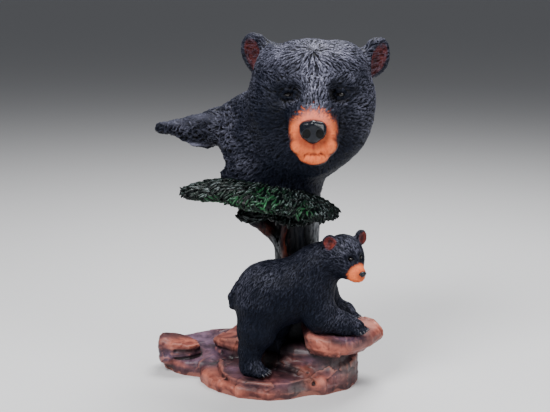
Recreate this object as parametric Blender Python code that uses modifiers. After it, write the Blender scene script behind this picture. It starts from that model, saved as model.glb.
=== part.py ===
"""A cast resin bear figurine: a black bear's bust on a tree trunk, a pine bough
below it, and a cub with its forepaws on a rock ledge.

The figurine is one casting, so it is one solid. It is built as a sculptor would:
lumps of clay are pressed together, the surface is drawn smooth over the joints,
then the fur, leaves and bark are cut in, and the underside is sawn flat.

The clay is laid out in units: 260 of them make up the figurine's height, and its
pose and proportions are shares of that. +X is to the viewer's right, +Y to the
back and +Z up. Sizes of its own are in metres.
"""

import math

import bmesh
import bpy
import numpy as np
from mathutils import Euler, Matrix, Vector
from mathutils.kdtree import KDTree

# Overall size, in metres
WIDTH = 0.178
DEPTH = 0.140
HEIGHT = 0.261
UNIT = HEIGHT / 260

# Sizes, in metres
EAR_WIDTH = 0.0232
EAR_THICKNESS = 0.012
EAR_HEIGHT = 0.030
EYE_DIAMETER = 0.006
TRUNK_DIAMETER = 0.033
BOUGH_THICKNESS = 0.013
SAWN_EDGE = 0.005  # how far the rocks run below the underside before it is sawn

# Levels of the rocks above the underside, in metres
APRON_TOP = 0.010
STEP_TOP = 0.014
SHELF_TOP = 0.015
BOULDER_TOP = 0.025
BACK_ROCK_TOP = 0.028
CORE_TOP = 0.035
LEDGE_TOP = 0.046
LEDGE_THICKNESS = 0.012

# Carving, in metres: a stroke's spacing, length, width and depth
FUR_STROKE = (0.009, 0.022, 0.0085, 0.0017)
CUB_STROKE = (0.008, 0.016, 0.007, 0.0011)
LEAF_STROKE = (0.0065, 0.012, 0.0065, 0.0022)
BARK_STROKE = (0.008, 0.030, 0.007, 0.0016)
ROCK_RELIEF = 0.0016

# The plane that the bust's face is symmetric about, and how far a lump's blend reaches, in units
HEAD_MID = 26.0
FAR = 20.0

# Mesh
BLOCK_VOXEL = 0.0026
SURFACE_VOXEL = 0.0019
TRIANGLES = 9600
RANDOM_SEED = 7


def units(metres):
    return metres / UNIT


class Clay:
    """Lumps pressed together. Each blends into those before it over its own softness."""

    def __init__(self):
        self.lumps = []

    def ball(self, centre, radii, turn=(0, 0, 0), soft=8.0, cut=False):
        """An egg with these radii, turned by degrees about X, Y and Z."""
        frame = Matrix.Translation(centre) @ Euler([math.radians(a) for a in turn]).to_matrix().to_4x4()
        self.lumps.append(("ball", frame, np.array(radii, float), soft, cut))

    def limb(self, stations, soft=6.0):
        """A tapering limb through stations of (x, y, z, radius)."""
        for first, last in zip(stations, stations[1:]):
            self.lumps.append(("limb", np.array(first, float), np.array(last, float), soft, False))

    def slab(self, outline, low, high, edge=2.5, lean=(0, 0), soft=2.5):
        """A flat stone: an outline of (x, y) between two levels. lean is the top's rise per unit of x and y."""
        self.lumps.append(("slab", np.array(outline, float), (low, high, edge, lean), soft, False))

    def field(self, points):
        """How far each point is outside the clay, below 0 inside it."""
        total = np.full(len(points), FAR)
        for kind, first, second, soft, cut in self.lumps:
            middle, reach = BOUNDS[kind](first, second)
            near = np.linalg.norm(points - middle, axis=1) < reach + FAR
            distance = DISTANCES[kind](points[near], first, second)
            if cut:
                total[near] = -blended(-total[near], distance, soft)
            else:
                total[near] = blended(total[near], distance, soft)
        return total

    def block(self):
        """A rough block of overlapping solids in the same places."""
        rough = bmesh.new()
        for kind, first, second, soft, cut in self.lumps:
            if not cut:
                for piece in BLOCKS[kind](first, second):
                    rough.from_mesh(piece)
        return mesh_from(rough, "rough_block")


def blended(a, b, soft):
    """The smaller of two distances, with the corner between them filled over softness."""
    overlap = np.maximum(soft - np.abs(a - b), 0) / soft
    return np.minimum(a, b) - overlap * overlap * soft / 4


def ball_distance(points, frame, radii):
    local = (points - np.array(frame.translation)) @ np.array(frame.to_3x3())
    near = np.linalg.norm(local / radii, axis=1)
    slope = np.linalg.norm(local / radii**2, axis=1)
    return near * (near - 1) / np.maximum(slope, 1e-6)


def limb_distance(points, first, last):
    along = last[:3] - first[:3]
    share = np.clip((points - first[:3]) @ along / (along @ along), 0, 1)
    centre = first[:3] + share[:, None] * along
    radius = first[3] + share * (last[3] - first[3])
    return np.linalg.norm(points - centre, axis=1) - radius


def outline_distance(points, outline):
    """Distance from points of (x, y) to a closed outline, below 0 inside it."""
    nearest = np.full(len(points), 1e9)
    inside = np.zeros(len(points), bool)
    for a, b in zip(outline, np.roll(outline, -1, axis=0)):
        side = b - a
        offset = points - a
        share = np.clip(offset @ side / (side @ side), 0, 1)
        gap = offset - share[:, None] * side
        nearest = np.minimum(nearest, np.einsum("ij,ij->i", gap, gap))
        spans = (a[1] > points[:, 1]) != (b[1] > points[:, 1])
        rise = side[1] if abs(side[1]) > 1e-9 else 1e-9
        inside ^= spans & (points[:, 0] < a[0] + side[0] * (points[:, 1] - a[1]) / rise)
    return np.sqrt(nearest) * np.where(inside, -1, 1)


def slab_distance(points, outline, levels):
    low, high, edge, lean = levels
    middle = outline.mean(axis=0)
    top = high + (points[:, :2] - middle) @ np.array(lean)
    flat = outline_distance(points[:, :2], outline) + edge
    upright = np.maximum(points[:, 2] - top, low - points[:, 2]) + edge
    outside = np.linalg.norm(np.maximum(np.stack([flat, upright]), 0), axis=0)
    return outside + np.minimum(np.maximum(flat, upright), 0) - edge


def ball_bounds(frame, radii):
    return np.array(frame.translation), radii.max()


def limb_bounds(first, last):
    half = np.linalg.norm(last[:3] - first[:3]) / 2
    return (first[:3] + last[:3]) / 2, half + max(first[3], last[3])


def slab_bounds(outline, levels):
    low, high, edge, lean = levels
    middle = outline.mean(axis=0)
    across = np.linalg.norm(outline - middle, axis=1).max()
    rise = (high - low) / 2 + across * np.linalg.norm(lean)
    return np.array((*middle, (low + high) / 2)), math.hypot(across, rise)


def ball_block(frame, radii):
    piece = bmesh.new()
    place = frame @ Matrix.Diagonal((*radii, 1))
    bmesh.ops.create_uvsphere(piece, u_segments=24, v_segments=14, radius=1, matrix=place)
    return [mesh_from(piece, "rough_ball")]


def limb_block(first, last):
    length = np.linalg.norm(last[:3] - first[:3])
    steps = max(2, int(3 * length / min(first[3], last[3])))
    balls = []
    for share in np.linspace(0, 1, steps):
        *centre, radius = first + share * (last - first)
        balls += ball_block(Matrix.Translation(centre), (radius, radius, radius))
    return balls


def slab_block(outline, levels):
    low, high, edge, lean = levels
    middle = outline.mean(axis=0)
    piece = bmesh.new()
    foot = [piece.verts.new((x, y, low)) for x, y in outline]
    grown = bmesh.ops.extrude_face_region(piece, geom=[piece.faces.new(foot)])
    top = [part for part in grown["geom"] if isinstance(part, bmesh.types.BMVert)]
    for vert in top:
        vert.co.z = high + (vert.co.x - middle[0]) * lean[0] + (vert.co.y - middle[1]) * lean[1]
    bmesh.ops.recalc_face_normals(piece, faces=piece.faces)
    return [mesh_from(piece, "rough_slab")]


DISTANCES = {"ball": ball_distance, "limb": limb_distance, "slab": slab_distance}
BOUNDS = {"ball": ball_bounds, "limb": limb_bounds, "slab": slab_bounds}
BLOCKS = {"ball": ball_block, "limb": limb_block, "slab": slab_block}


def mesh_from(worked, name):
    mesh = bpy.data.meshes.new(name)
    worked.to_mesh(mesh)
    worked.free()
    return mesh


def mirrored(x):
    """The two places of a feature this far either side of the bust's face."""
    return [(HEAD_MID - x, -1), (HEAD_MID + x, 1)]


def model_bust(clay):
    """The big bear: skull, cheeks, muzzle, neck and the point that the neck runs out in."""
    clay.ball((HEAD_MID, -1, 219), (44, 45, 38))
    clay.ball((HEAD_MID, -22, 233), (31, 24, 21), soft=12)
    for x, side in mirrored(24):
        clay.ball((x, -9, 206), (22, 31, 29), soft=10)
    for x, side in mirrored(16):
        clay.ball((x, -13, 189), (21, 27, 22), turn=(0, side * 14, 0), soft=12)
    clay.ball((HEAD_MID - 5, -6, 178), (32, 29, 26), soft=14)
    model_neck(clay)
    model_muzzle(clay)
    model_ear(clay, (-13.5, 9, 246.5), -1)
    model_ear(clay, (73, 11, 243), 1)


def model_neck(clay):
    """The neck widens to the left, where its lower edge is cut away and it ends in a point."""
    clay.ball((2, 14, 176), (43, 34, 33), soft=16)
    clay.ball((-4, 27, 195), (36, 29, 24), soft=16)
    clay.ball((-17, 8, 161), (27, 25, 15), soft=12)
    clay.limb([(6, 12, 168, 32), (11, 12, 148, 26), (15, 13, 134, 18)], soft=12)
    wing = [(-14, 24, 190, 24), (-42, 27, 190.5, 15.5), (-60, 30, 190.5, 11), (-74, 32, 190, 7.6)]
    clay.limb(wing + [(-87, 33, 189.5, 4.4)], soft=10)
    clay.ball((-66, 20, 168), (33, 50, 12.5), turn=(0, 4, 0), soft=2, cut=True)


def model_muzzle(clay):
    """Bridge, lips, chin and nose pad of the bust, with its eyes set in shallow sockets."""
    clay.limb([(HEAD_MID, -28, 230, 17), (HEAD_MID, -46, 216, 14), (HEAD_MID, -59, 206, 12)], soft=12)
    clay.ball((HEAD_MID, -52, 199), (17, 23, 16), soft=8)
    clay.limb([(HEAD_MID, -50, 188, 10), (HEAD_MID - 1, -28, 181, 19)], soft=8)
    for x, side in mirrored(8.2):
        clay.ball((x, -60, 192.5), (8.8, 13.5, 11.5), turn=(0, side * 12, side * 6), soft=4)
    clay.ball((HEAD_MID, -57.5, 183.8), (10.6, 13.5, 7), soft=2)
    clay.ball((HEAD_MID, -72.5, 202), (9.6, 6.5, 7.6), soft=2)
    for x, side in mirrored(18):
        clay.ball((x, -48, 221), (8.5, 8.5, 5.5), turn=(0, side * 8, 0), soft=8, cut=True)
        clay.ball((x, -39.5, 221), [units(EYE_DIAMETER) / 2] * 3, soft=1.2)
    for x, side in mirrored(4.4):
        clay.ball((x, -79, 200.6), (2.3, 5, 2.1), turn=(0, side * 25, 0), soft=0.8, cut=True)


def model_ear(clay, centre, side):
    """A tall cup that leans outwards and is open at the front of its outer half."""
    wide, deep, tall = (units(size) / 2 for size in (EAR_WIDTH, EAR_THICKNESS, EAR_HEIGHT))
    clay.ball(centre, (wide, deep, tall), turn=(6, side * 14, side * 24), soft=5)
    hollow = Vector(centre) + Vector((side * wide * 0.3, -deep, 0))
    clay.ball(hollow, (wide * 0.5, deep * 0.9, tall * 0.8), turn=(6, side * 22, side * 24), soft=2, cut=True)


def model_trunk(clay):
    """The trunk behind the cub, with its left branch and a strip of bark down its right."""
    radius = units(TRUNK_DIAMETER) / 2
    clay.limb([(18, 20, 12, radius * 1.7), (17, 19, 44, radius * 1.15), (17, 17, 84, radius)], soft=8)
    clay.limb([(17, 17, 84, radius), (16.5, 15, 122, radius), (17, 14, 144, radius * 1.3)], soft=8)
    clay.limb([(4, 15, 62, 9), (4, 14, 96, 7), (-2, 13, 111, 6), (-12, 11, 124, 6), (-22, 8, 133, 7)], soft=5)
    clay.limb([(28, 10, 40, 6.5), (28.5, 5, 90, 5), (28, 3, 128, 6)], soft=3)


def model_bough(clay):
    """Flat sprays of needles that wrap round the front of the trunk."""
    half = units(BOUGH_THICKNESS) / 2
    clay.ball((-36, -8, 147.5), (35, 21, half + 0.5), turn=(6, -2, 6), soft=3)
    clay.ball((-8, -20, 146.5), (38, 24, half + 2), turn=(14, 8, -4), soft=5)
    clay.ball((20, -20, 139.5), (29, 21, half + 0.5), turn=(12, 12, -8), soft=4)
    clay.ball((-14, 0, 130), (16.5, 15, half + 1.5), turn=(0, -14, 0), soft=4)
    clay.ball((12, -12, 132.5), (22, 18, half), turn=(16, 6, 0), soft=4)
    clay.ball((16, 30, 143), (20, 19, half), turn=(-10, 6, 20), soft=4)


def model_cub(clay):
    """The cub stands with its hind feet on the step and its forepaws on the ledge."""
    clay.ball((-6, -14, 70.5), (24, 22, 25), soft=10)
    clay.ball((12, -15, 73), (26, 22, 24.5), soft=10)
    clay.ball((28, -17, 81), (20, 20, 22), soft=10)
    clay.ball((39, -21, 95), (16, 15, 17), turn=(0, 25, 0), soft=9)
    model_cub_head(clay)
    clay.limb([(-26, -14, 79, 4.4), (-29.5, -14, 72, 4.6), (-29, -14, 66, 3.6)], soft=2.5)
    model_cub_legs(clay)


def model_cub_head(clay):
    clay.ball((50, -27, 104.5), (15, 15, 14.5), soft=8)
    clay.ball((54, -31.5, 100), (11, 11, 10), soft=6)
    clay.limb([(56.5, -36, 98.2, 7.4), (60.6, -41, 96.4, 5.6)], soft=4)
    clay.ball((59.5, -39.5, 93.6), (5.2, 5.6, 3.6), turn=(0, 0, 38), soft=2)
    clay.ball((63.4, -44.6, 98.4), (2.6, 2.2, 2.2), turn=(0, 0, 38), soft=1)
    for centre, turn in (((42.6, -32.6, 115.8), (0, -14, -8)), ((61.2, -19.8, 115.4), (0, 22, 62))):
        clay.ball(centre, (6.2, 3.4, 6.4), turn=turn, soft=2.5)
        out = Vector((0.5, -3.4, 0)) if centre[0] < 50 else Vector((3.0, -1.7, 0))
        clay.ball(Vector(centre) + out, (3.8, 2.6, 4.2), turn=turn, soft=1, cut=True)


def model_cub_legs(clay):
    step, ledge = units(STEP_TOP), units(LEDGE_TOP)
    near_hind = [(-9, -20, 62, 20), (-6, -25, 46, 15.5), (-17, -25.5, 31, 9.8), (-19, -27, step + 7, 8)]
    clay.limb(near_hind, soft=6)
    clay.limb([(-19, -27, step + 5, 7.4), (-7, -33, step + 4.4, 6.6)], soft=4)
    far_hind = [(-8, -6, 60, 18), (1, -3, 46, 13), (-5, 0, 32, 9), (6, -4, 26, 8)]
    clay.limb(far_hind, soft=5)
    near_fore = [(30, -24, 78, 16), (33, -28.5, ledge + 13, 11.5), (50, -29.5, ledge + 8, 7.2)]
    clay.limb(near_fore + [(59.5, -29.5, ledge + 4.6, 6)], soft=6)
    far_fore = [(36, -8, 76, 13), (42, -4, ledge + 15, 8), (53, -4, ledge + 9, 6.4)]
    clay.limb(far_fore + [(58.5, -5, ledge + 5.6, 5.8)], soft=5)


def model_rocks(clay):
    """Flat stones stacked into a base, with the ledge on the right."""
    low = -units(SAWN_EDGE)
    apron = [(-57, 4), (-55, -8), (-48, -20), (-27, -40), (-5, -47), (10, -43), (24, -35)]
    clay.slab(apron + [(40, -30), (44, 0), (0, 24), (-40, 18)], low, units(APRON_TOP), edge=4)
    step = [(-46, 4), (-43, -12), (-26, -31), (-5, -42), (9, -40), (22, -31), (34, 0), (-10, 16)]
    clay.slab(step, low, units(STEP_TOP), edge=1.6, lean=(0.02, 0.05))
    shelf = [(-90, 33), (-85, 22), (-72, 11), (-55, 3), (-20, -6), (-6, 40), (-28, 60), (-52, 59)]
    clay.slab(shelf + [(-78, 50)], low, units(SHELF_TOP), edge=4.5, lean=(0.06, 0.14))
    boulder = [(-94, 25), (-91, 14), (-80, 7), (-62, 8), (-56, 16), (-62, 26), (-78, 35), (-90, 35)]
    clay.slab(boulder, units(SHELF_TOP) - 4, units(BOULDER_TOP), edge=3.5, lean=(-0.04, 0))
    back = [(-46, 24), (-38, 10), (-18, 4), (6, 12), (20, 50), (-8, 60), (-32, 60)]
    clay.slab(back, low, units(BACK_ROCK_TOP), edge=2.5, lean=(0.24, 0.06))
    core = [(6, -20), (20, -30), (42, -31), (56, -22), (64, -6), (62, 16), (46, 42), (10, 54)]
    clay.slab(core, low, units(CORE_TOP), edge=5)
    foot = [(22, -32), (42, -32), (56, -22), (67, -2), (58, 12), (30, 0)]
    clay.slab(foot, low, units(APRON_TOP) + 12, edge=5, lean=(0.05, 0.1))
    middle = [(-2, -20), (10, -31), (26, -34), (34, -20), (20, 6)]
    clay.slab(middle, low, units(SHELF_TOP) + 12, edge=5, lean=(0.45, 0.2))
    ledge = [(22, -32), (38, -39), (56, -37), (72, -26), (82, -8), (78, 8), (62, 18), (36, 22), (20, 8)]
    top = units(LEDGE_TOP)
    clay.slab(ledge, top - units(LEDGE_THICKNESS), top, edge=4, lean=(-0.04, 0.05))


def modelled(*makers):
    clay = Clay()
    for make in makers:
        make(clay)
    return clay


def remeshed(mesh, voxel):
    """The mesh rebuilt from small even faces."""
    worked = bpy.data.objects.new("worked", mesh)
    bpy.context.collection.objects.link(worked)
    remesh = worked.modifiers.new("Even_faces", "REMESH")
    remesh.mode = "VOXEL"
    remesh.voxel_size = voxel
    rebuilt = evaluated_mesh(worked)
    bpy.data.objects.remove(worked)
    return rebuilt


def evaluated_mesh(worked):
    graph = bpy.context.evaluated_depsgraph_get()
    return bpy.data.meshes.new_from_object(worked.evaluated_get(graph))


def read(mesh, field):
    values = np.empty(len(mesh.vertices) * 3, np.float32)
    source = mesh.vertices if field == "co" else mesh.vertex_normals
    source.foreach_get("co" if field == "co" else "vector", values)
    return values.reshape(-1, 3).astype(float)


def write(mesh, points):
    mesh.vertices.foreach_set("co", points.astype(np.float32).ravel())
    mesh.update()


def slope(clay, points, step=0.4):
    """Which way the field rises, from four samples round each point."""
    corners = np.array([(1, -1, -1), (-1, -1, 1), (-1, 1, -1), (1, 1, 1)], float)
    rise = sum(corner * clay.field(points + corner * step)[:, None] for corner in corners)
    return rise / np.maximum(np.linalg.norm(rise, axis=1, keepdims=True), 1e-9)


def drawn_smooth(mesh, clay, rounds, reach):
    """Each point moved onto the clay's smooth surface, by at most reach a round."""
    points = read(mesh, "co")
    for _ in range(rounds):
        distance = np.clip(clay.field(points), -reach, reach)
        points -= slope(clay, points) * distance[:, None]
    write(mesh, points)
    return mesh


def tangent(directions, normals):
    flat = directions - normals * np.einsum("ij,ij->i", directions, normals)[:, None]
    return flat / np.maximum(np.linalg.norm(flat, axis=1, keepdims=True), 1e-9)


def bust_flow(points):
    """Fur runs back from the tip of the nose."""
    return points - np.array((HEAD_MID, -96, 204))


def cub_flow(points):
    """Fur runs from the cub's nose over its head, then back along the body and down the legs."""
    from_nose = points - np.array((66, -50, 97))
    share = np.clip((points[:, 0] - 30) / 14, 0, 1)[:, None]
    down = np.clip((78 - points[:, 2]) / 40, 0, 1)[:, None]
    body = np.array((-1, 0, -0.35)) + down * np.array((0.75, 0, -1.0))
    return share * from_nose / 20 + (1 - share) * body


def bough_flow(points):
    """Needles point outwards from the trunk."""
    return (points - np.array((14, 14, 150))) * np.array((1, 1, 0.4))


def bark_flow(points):
    return np.tile((0.06, 0, 1.0), (len(points), 1))


def strokes(points, normals, flow, cutting, chance):
    """Height of overlapping tapered strokes laid along a flow, from 0 in the grooves to 1 at the tips."""
    spacing, length, width, depth = cutting
    order = chance.permutation(len(points))
    taken, cells = [], set()
    for index in order:
        cell = tuple((points[index] // spacing).astype(int))
        if cell not in cells:
            cells.add(cell)
            taken.append(index)
    tree = KDTree(len(taken))
    for place, index in enumerate(taken):
        tree.insert(points[index], place)
    tree.balance()
    taken = np.array(taken)
    directions = tangent(flow(points[taken]), normals[taken])
    across = np.cross(normals[taken], directions)
    near = [[place for _, place, _ in tree.find_n(point, 7)] for point in points]
    near = np.array([row + row[:1] * (7 - len(row)) for row in near])
    height = np.zeros(len(points))
    for column in near.T:
        offset = points - points[taken[column]]
        along = np.einsum("ij,ij->i", offset, directions[column]) / (length / 2)
        aside = np.einsum("ij,ij->i", offset, across[column]) / (width / 2)
        taper = np.clip(1.15 - 0.45 * (along + 1) ** 2 / 2, 0.05, 1)
        ridge = np.sqrt(np.clip(1 - (aside / taper) ** 2, 0, 1)) * (0.55 + 0.45 * along)
        height = np.maximum(height, np.where(np.abs(along) < 1, ridge, 0))
    return height


def strata(points, chance):
    """Uneven layers across the rocks' sides."""
    phases = chance.uniform(0, 2 * math.pi, 6)
    x, y, z = points.T
    warp = 2.2 * np.sin(x / 19 + phases[0]) + 1.8 * np.sin(y / 15 + phases[1])
    layers = np.abs(np.sin((z + warp) / 2.9 + phases[2]))
    hollows = np.sin(x / 9 + phases[3]) * np.sin(y / 8 + phases[4]) * np.sin(z / 7 + phases[5])
    return 0.5 * layers + 0.6 * hollows


def belongs(points, groups):
    """Which group of clay each point lies nearest to."""
    return np.argmin(np.stack([group.field(points) for group in groups]), axis=0)


def carve(mesh, groups):
    """Fur, leaves, bark and layered stone, cut by moving the surface along its normals."""
    chance = np.random.default_rng(RANDOM_SEED)
    points, normals = read(mesh, "co"), read(mesh, "normal")
    owner = belongs(points, groups.values())
    moved = np.zeros(len(points))
    flows = {"bust": bust_flow, "cub": cub_flow, "bough": bough_flow, "trunk": bark_flow}
    cuttings = {"bust": FUR_STROKE, "cub": CUB_STROKE, "bough": LEAF_STROKE, "trunk": BARK_STROKE}
    for number, name in enumerate(groups):
        mine = owner == number
        if name == "rocks":
            side = 1 - 0.7 * np.clip(normals[mine, 2], 0, 1) ** 2
            moved[mine] = -units(ROCK_RELIEF) * side * strata(points[mine], chance)
        else:
            cutting = [units(size) for size in cuttings[name]]
            height = strokes(points[mine], normals[mine], flows[name], cutting, chance)
            moved[mine] = (height - 0.7) * cutting[3] * smooth_places(points[mine], name)
    write(mesh, points + normals * moved[:, None])
    return mesh


def smooth_places(points, name):
    """1 where the fur is carved, 0 on the muzzles, noses, eyes and ear hollows."""
    keep = np.ones(len(points))
    if name == "bust":
        muzzle = np.linalg.norm((points - (HEAD_MID, -62, 196)) / (19, 27, 23), axis=1)
        keep *= np.clip((muzzle - 0.85) / 0.3, 0, 1)
        for x, side in mirrored(18):
            eye = np.linalg.norm(points - (x, -39, 221), axis=1)
            keep *= np.clip((eye - 5) / 6, 0, 1)
        ears = np.abs(points[:, 0] - 30) > 36
        keep[ears & (points[:, 2] > 230)] = 0.1
        keep *= 0.4 + 0.6 * np.clip((np.linalg.norm(points - (HEAD_MID, -30, 222), axis=1) - 22) / 30, 0, 1)
    if name == "cub":
        head = np.linalg.norm(points - (54, -32, 103), axis=1)
        keep *= np.clip((head - 10) / 14, 0.1, 0.8)
    return keep


def thinned(mesh, name):
    """The mesh with fewer, larger faces where it is plain."""
    worked = bpy.data.objects.new(name, mesh)
    bpy.context.collection.objects.link(worked)
    thin = worked.modifiers.new("Fewer_faces", "DECIMATE")
    thin.ratio = TRIANGLES / (2 * len(mesh.polygons))
    thin.use_collapse_triangulate = True
    fewer = evaluated_mesh(worked)
    bpy.data.objects.remove(worked)
    return fewer


def sawn(mesh):
    """The underside cut off flat at level 0."""
    worked = bmesh.new()
    worked.from_mesh(mesh)
    everything = worked.verts[:] + worked.edges[:] + worked.faces[:]
    cut = bmesh.ops.bisect_plane(worked, geom=everything, dist=1e-4, plane_no=(0, 0, 1), clear_inner=True)
    rim = [part for part in cut["geom_cut"] if isinstance(part, bmesh.types.BMEdge)]
    bmesh.ops.triangle_fill(worked, edges=rim, use_beauty=True, normal=(0, 0, -1))
    bmesh.ops.triangulate(worked, faces=worked.faces)
    bmesh.ops.recalc_face_normals(worked, faces=worked.faces)
    return mesh_from(worked, mesh.name)


def at_full_size(mesh):
    """The mesh over the origin, in metres, at its overall size."""
    points = read(mesh, "co")
    low, high = points.min(axis=0), points.max(axis=0)
    middle = (low + high) / 2
    middle[2] = low[2]
    write(mesh, (points - middle) / (high - low) * (WIDTH, DEPTH, HEIGHT))
    return mesh


def painted():
    """The black paint that covers most of the casting."""
    paint = bpy.data.materials.new("black_paint")
    paint.use_nodes = True
    shader = paint.node_tree.nodes["Principled BSDF"]
    shader.inputs["Base Color"].default_value = (0.03, 0.032, 0.04, 1)
    shader.inputs["Roughness"].default_value = 0.5
    return paint


def main():
    for old in list(bpy.data.objects):
        bpy.data.objects.remove(old)
    makers = {
        "bust": model_bust,
        "trunk": model_trunk,
        "bough": model_bough,
        "cub": model_cub,
        "rocks": model_rocks,
    }
    groups = {name: modelled(make) for name, make in makers.items()}
    whole = modelled(*makers.values())
    mesh = whole.block()
    for voxel in (units(BLOCK_VOXEL), units(SURFACE_VOXEL)):
        mesh = remeshed(mesh, voxel)
        mesh = drawn_smooth(mesh, whole, rounds=4, reach=voxel)
    mesh = carve(mesh, groups)
    mesh = at_full_size(sawn(thinned(mesh, "bear_figurine")))
    mesh.name = "bear_figurine"
    mesh.materials.clear()
    mesh.materials.append(painted())
    figurine = bpy.data.objects.new("bear_figurine", mesh)
    collection = bpy.data.collections.new("bear_figurine")
    bpy.context.scene.collection.children.link(collection)
    collection.objects.link(figurine)


main()
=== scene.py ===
"""The painted bear figurine: carved fur, pine leaves, bark and layered rocks over the solid.

Each piece is modelled in clay: lumps are pressed together, remeshed, drawn smooth
and then carved. The clay is laid out in units of about a millimetre, with +X to the
viewer's right, +Y to the back and +Z up from the underside.
"""

import math

import bmesh
import bpy
import numpy as np
from mathutils import Euler, Matrix, Vector
from mathutils.kdtree import KDTree


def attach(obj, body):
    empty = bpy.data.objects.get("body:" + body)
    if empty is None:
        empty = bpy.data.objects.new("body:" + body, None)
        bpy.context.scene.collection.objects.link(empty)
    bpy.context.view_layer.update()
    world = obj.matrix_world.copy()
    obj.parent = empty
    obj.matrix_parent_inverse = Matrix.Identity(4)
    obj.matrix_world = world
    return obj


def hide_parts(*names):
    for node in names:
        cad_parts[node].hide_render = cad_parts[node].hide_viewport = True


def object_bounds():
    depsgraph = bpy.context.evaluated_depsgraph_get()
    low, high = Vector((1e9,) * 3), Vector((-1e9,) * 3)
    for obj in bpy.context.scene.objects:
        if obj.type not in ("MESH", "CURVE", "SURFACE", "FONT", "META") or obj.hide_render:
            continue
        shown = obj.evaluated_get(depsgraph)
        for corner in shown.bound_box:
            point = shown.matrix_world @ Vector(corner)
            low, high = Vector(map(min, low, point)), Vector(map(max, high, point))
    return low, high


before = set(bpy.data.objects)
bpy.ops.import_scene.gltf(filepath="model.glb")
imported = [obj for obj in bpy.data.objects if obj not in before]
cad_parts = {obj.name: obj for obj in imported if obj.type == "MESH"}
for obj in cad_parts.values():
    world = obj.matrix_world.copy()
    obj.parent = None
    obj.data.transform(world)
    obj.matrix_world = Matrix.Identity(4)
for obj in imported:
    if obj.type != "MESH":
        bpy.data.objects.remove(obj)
cad_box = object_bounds()
bpy.ops.object.select_all(action="DESELECT")

NODE = "bear_figurine"
BODY = "root"

# The clay's unit in metres, and where its origin lies in the frame, in units
CASTING_HEIGHT = 261
UNIT = (cad_box[1].z - cad_box[0].z) / CASTING_HEIGHT
CLAY_ORIGIN = np.array((4.8, 9.35, 0.0))

# The photograph's view: the camera's place in units, the degrees it looks down, and its lens
# and sensor in millimetres
CAMERA_PLACE = (0.0, -730.0, 290.0)
CAMERA_DOWN = 12.0
CAMERA_LENS = 66.0
SENSOR = 36.0

# Soft square lights: name, place, size and power. They aim at the middle of the figurine
LIGHTS = (
    ("key", (-0.5, -0.7, 1.0), 0.45, 22),
    ("fill", (0.8, -0.6, 0.5), 0.5, 7),
    ("top", (0.15, 0.3, 0.95), 0.5, 13),
)
LIGHT_AIM = (0, 0, 0.13)

# Finest mesh of each piece, in units
BUST_VOXEL = 0.63
CUB_VOXEL = 0.5
TRUNK_VOXEL = 0.9
BOUGH_VOXEL = 1.0
ROCK_VOXEL = 0.7
NOSE_VOXEL = 0.32

# Carving, in units: a stroke's spacing, length, width and depth
BUST_FUR = (1.8, 6.6, 1.7, 1.1)
NECK_CURLS = (2.6, 7.0, 2.2, 1.6)
CUB_FUR = (1.35, 4.2, 1.3, 0.66)
BARK = (2.6, 15.0, 2.6, 1.1)

# The height on a stroke that stays level with the clay, and how many strokes reach a point
STROKE_LEVEL = 0.6
CURL_LEVEL = 0.55
STROKES_NEAR = 7
CHIPS_NEAR = 4

# Rounds of smoothing that hollows are measured against
FUR_ROUNDS = 11
PLAIN_ROUNDS = 12

# Leaves, in units
LEAF_SPACING = 3.6
LEAF_LENGTH = 8.4
LEAF_WIDTH = 3.5
LEAF_THICKNESS = 1.6

# A hair's width and the size of a tuft in the fur paint, in metres
HAIR_WIDTH = 0.0006
TUFT = 0.0026

# The bust's face is symmetric about HEAD_MID, but its nose is a little to the left
HEAD_MID = 26.0
NOSE_MID = 24.9

# Lumps further off than this don't change a surface
FAR = 20.0

# Levels of the rocks above the underside, in units. They start at ROCK_FOOT and are cut flat at 0
ROCK_FOOT = -5
APRON_TOP = 10.0
STEP_TOP = 14.0
SHELF_TOP = 15.0
BOULDER_TOP = 25.0
BACK_ROCK_TOP = 28.5
CORE_TOP = 34.0
LEDGE_TOP = 46.0
LEDGE_THICKNESS = 13.0


class Clay:
    """Lumps pressed together. Each blends into those before it over its own softness."""

    def __init__(self):
        self.lumps = []

    def ball(self, centre, radii, turn=(0, 0, 0), soft=8.0, cut=False):
        """An egg with these radii, turned by degrees about X, Y and Z."""
        stance = Matrix.Translation(centre) @ turn_matrix(turn).to_4x4()
        self.lumps.append(("ball", stance, np.array(radii, float), soft, cut))

    def limb(self, stations, soft=6.0, cut=False):
        """A tapering limb through stations of (x, y, z, radius)."""
        for first, last in zip(stations, stations[1:]):
            ends = np.array(first, float), np.array(last, float)
            self.lumps.append(("limb", *ends, soft, cut))

    def groove(self, points, radius, soft=0.6):
        """A groove of one radius cut through points of (x, y, z)."""
        self.limb([(*point, radius) for point in points], soft=soft, cut=True)

    def slab(self, outline, low, high, edge, soft, lean=(0, 0)):
        """A flat stone: an outline of (x, y) between two levels, its top rising by lean."""
        levels = (low, high, edge, lean)
        self.lumps.append(("slab", np.array(outline, float), levels, soft, False))

    def field(self, points):
        """How far each point is outside the clay, below 0 inside it."""
        total = np.full(len(points), FAR)
        for kind, first, second, soft, cut in self.lumps:
            middle, reach = BOUNDS[kind](first, second)
            near = np.linalg.norm(points - middle, axis=1) < reach + FAR
            if not near.any():
                continue
            distance = DISTANCES[kind](points[near], first, second)
            if cut:
                total[near] = -blended(-total[near], distance, soft)
            else:
                total[near] = blended(total[near], distance, soft)
        return total

    def block(self):
        """A rough block of overlapping solids in the same places."""
        rough = bmesh.new()
        for kind, first, second, _, cut in self.lumps:
            if not cut:
                for piece in BLOCKS[kind](first, second):
                    rough.from_mesh(piece)
                    bpy.data.meshes.remove(piece)
        return mesh_from(rough, "rough_block")


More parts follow.
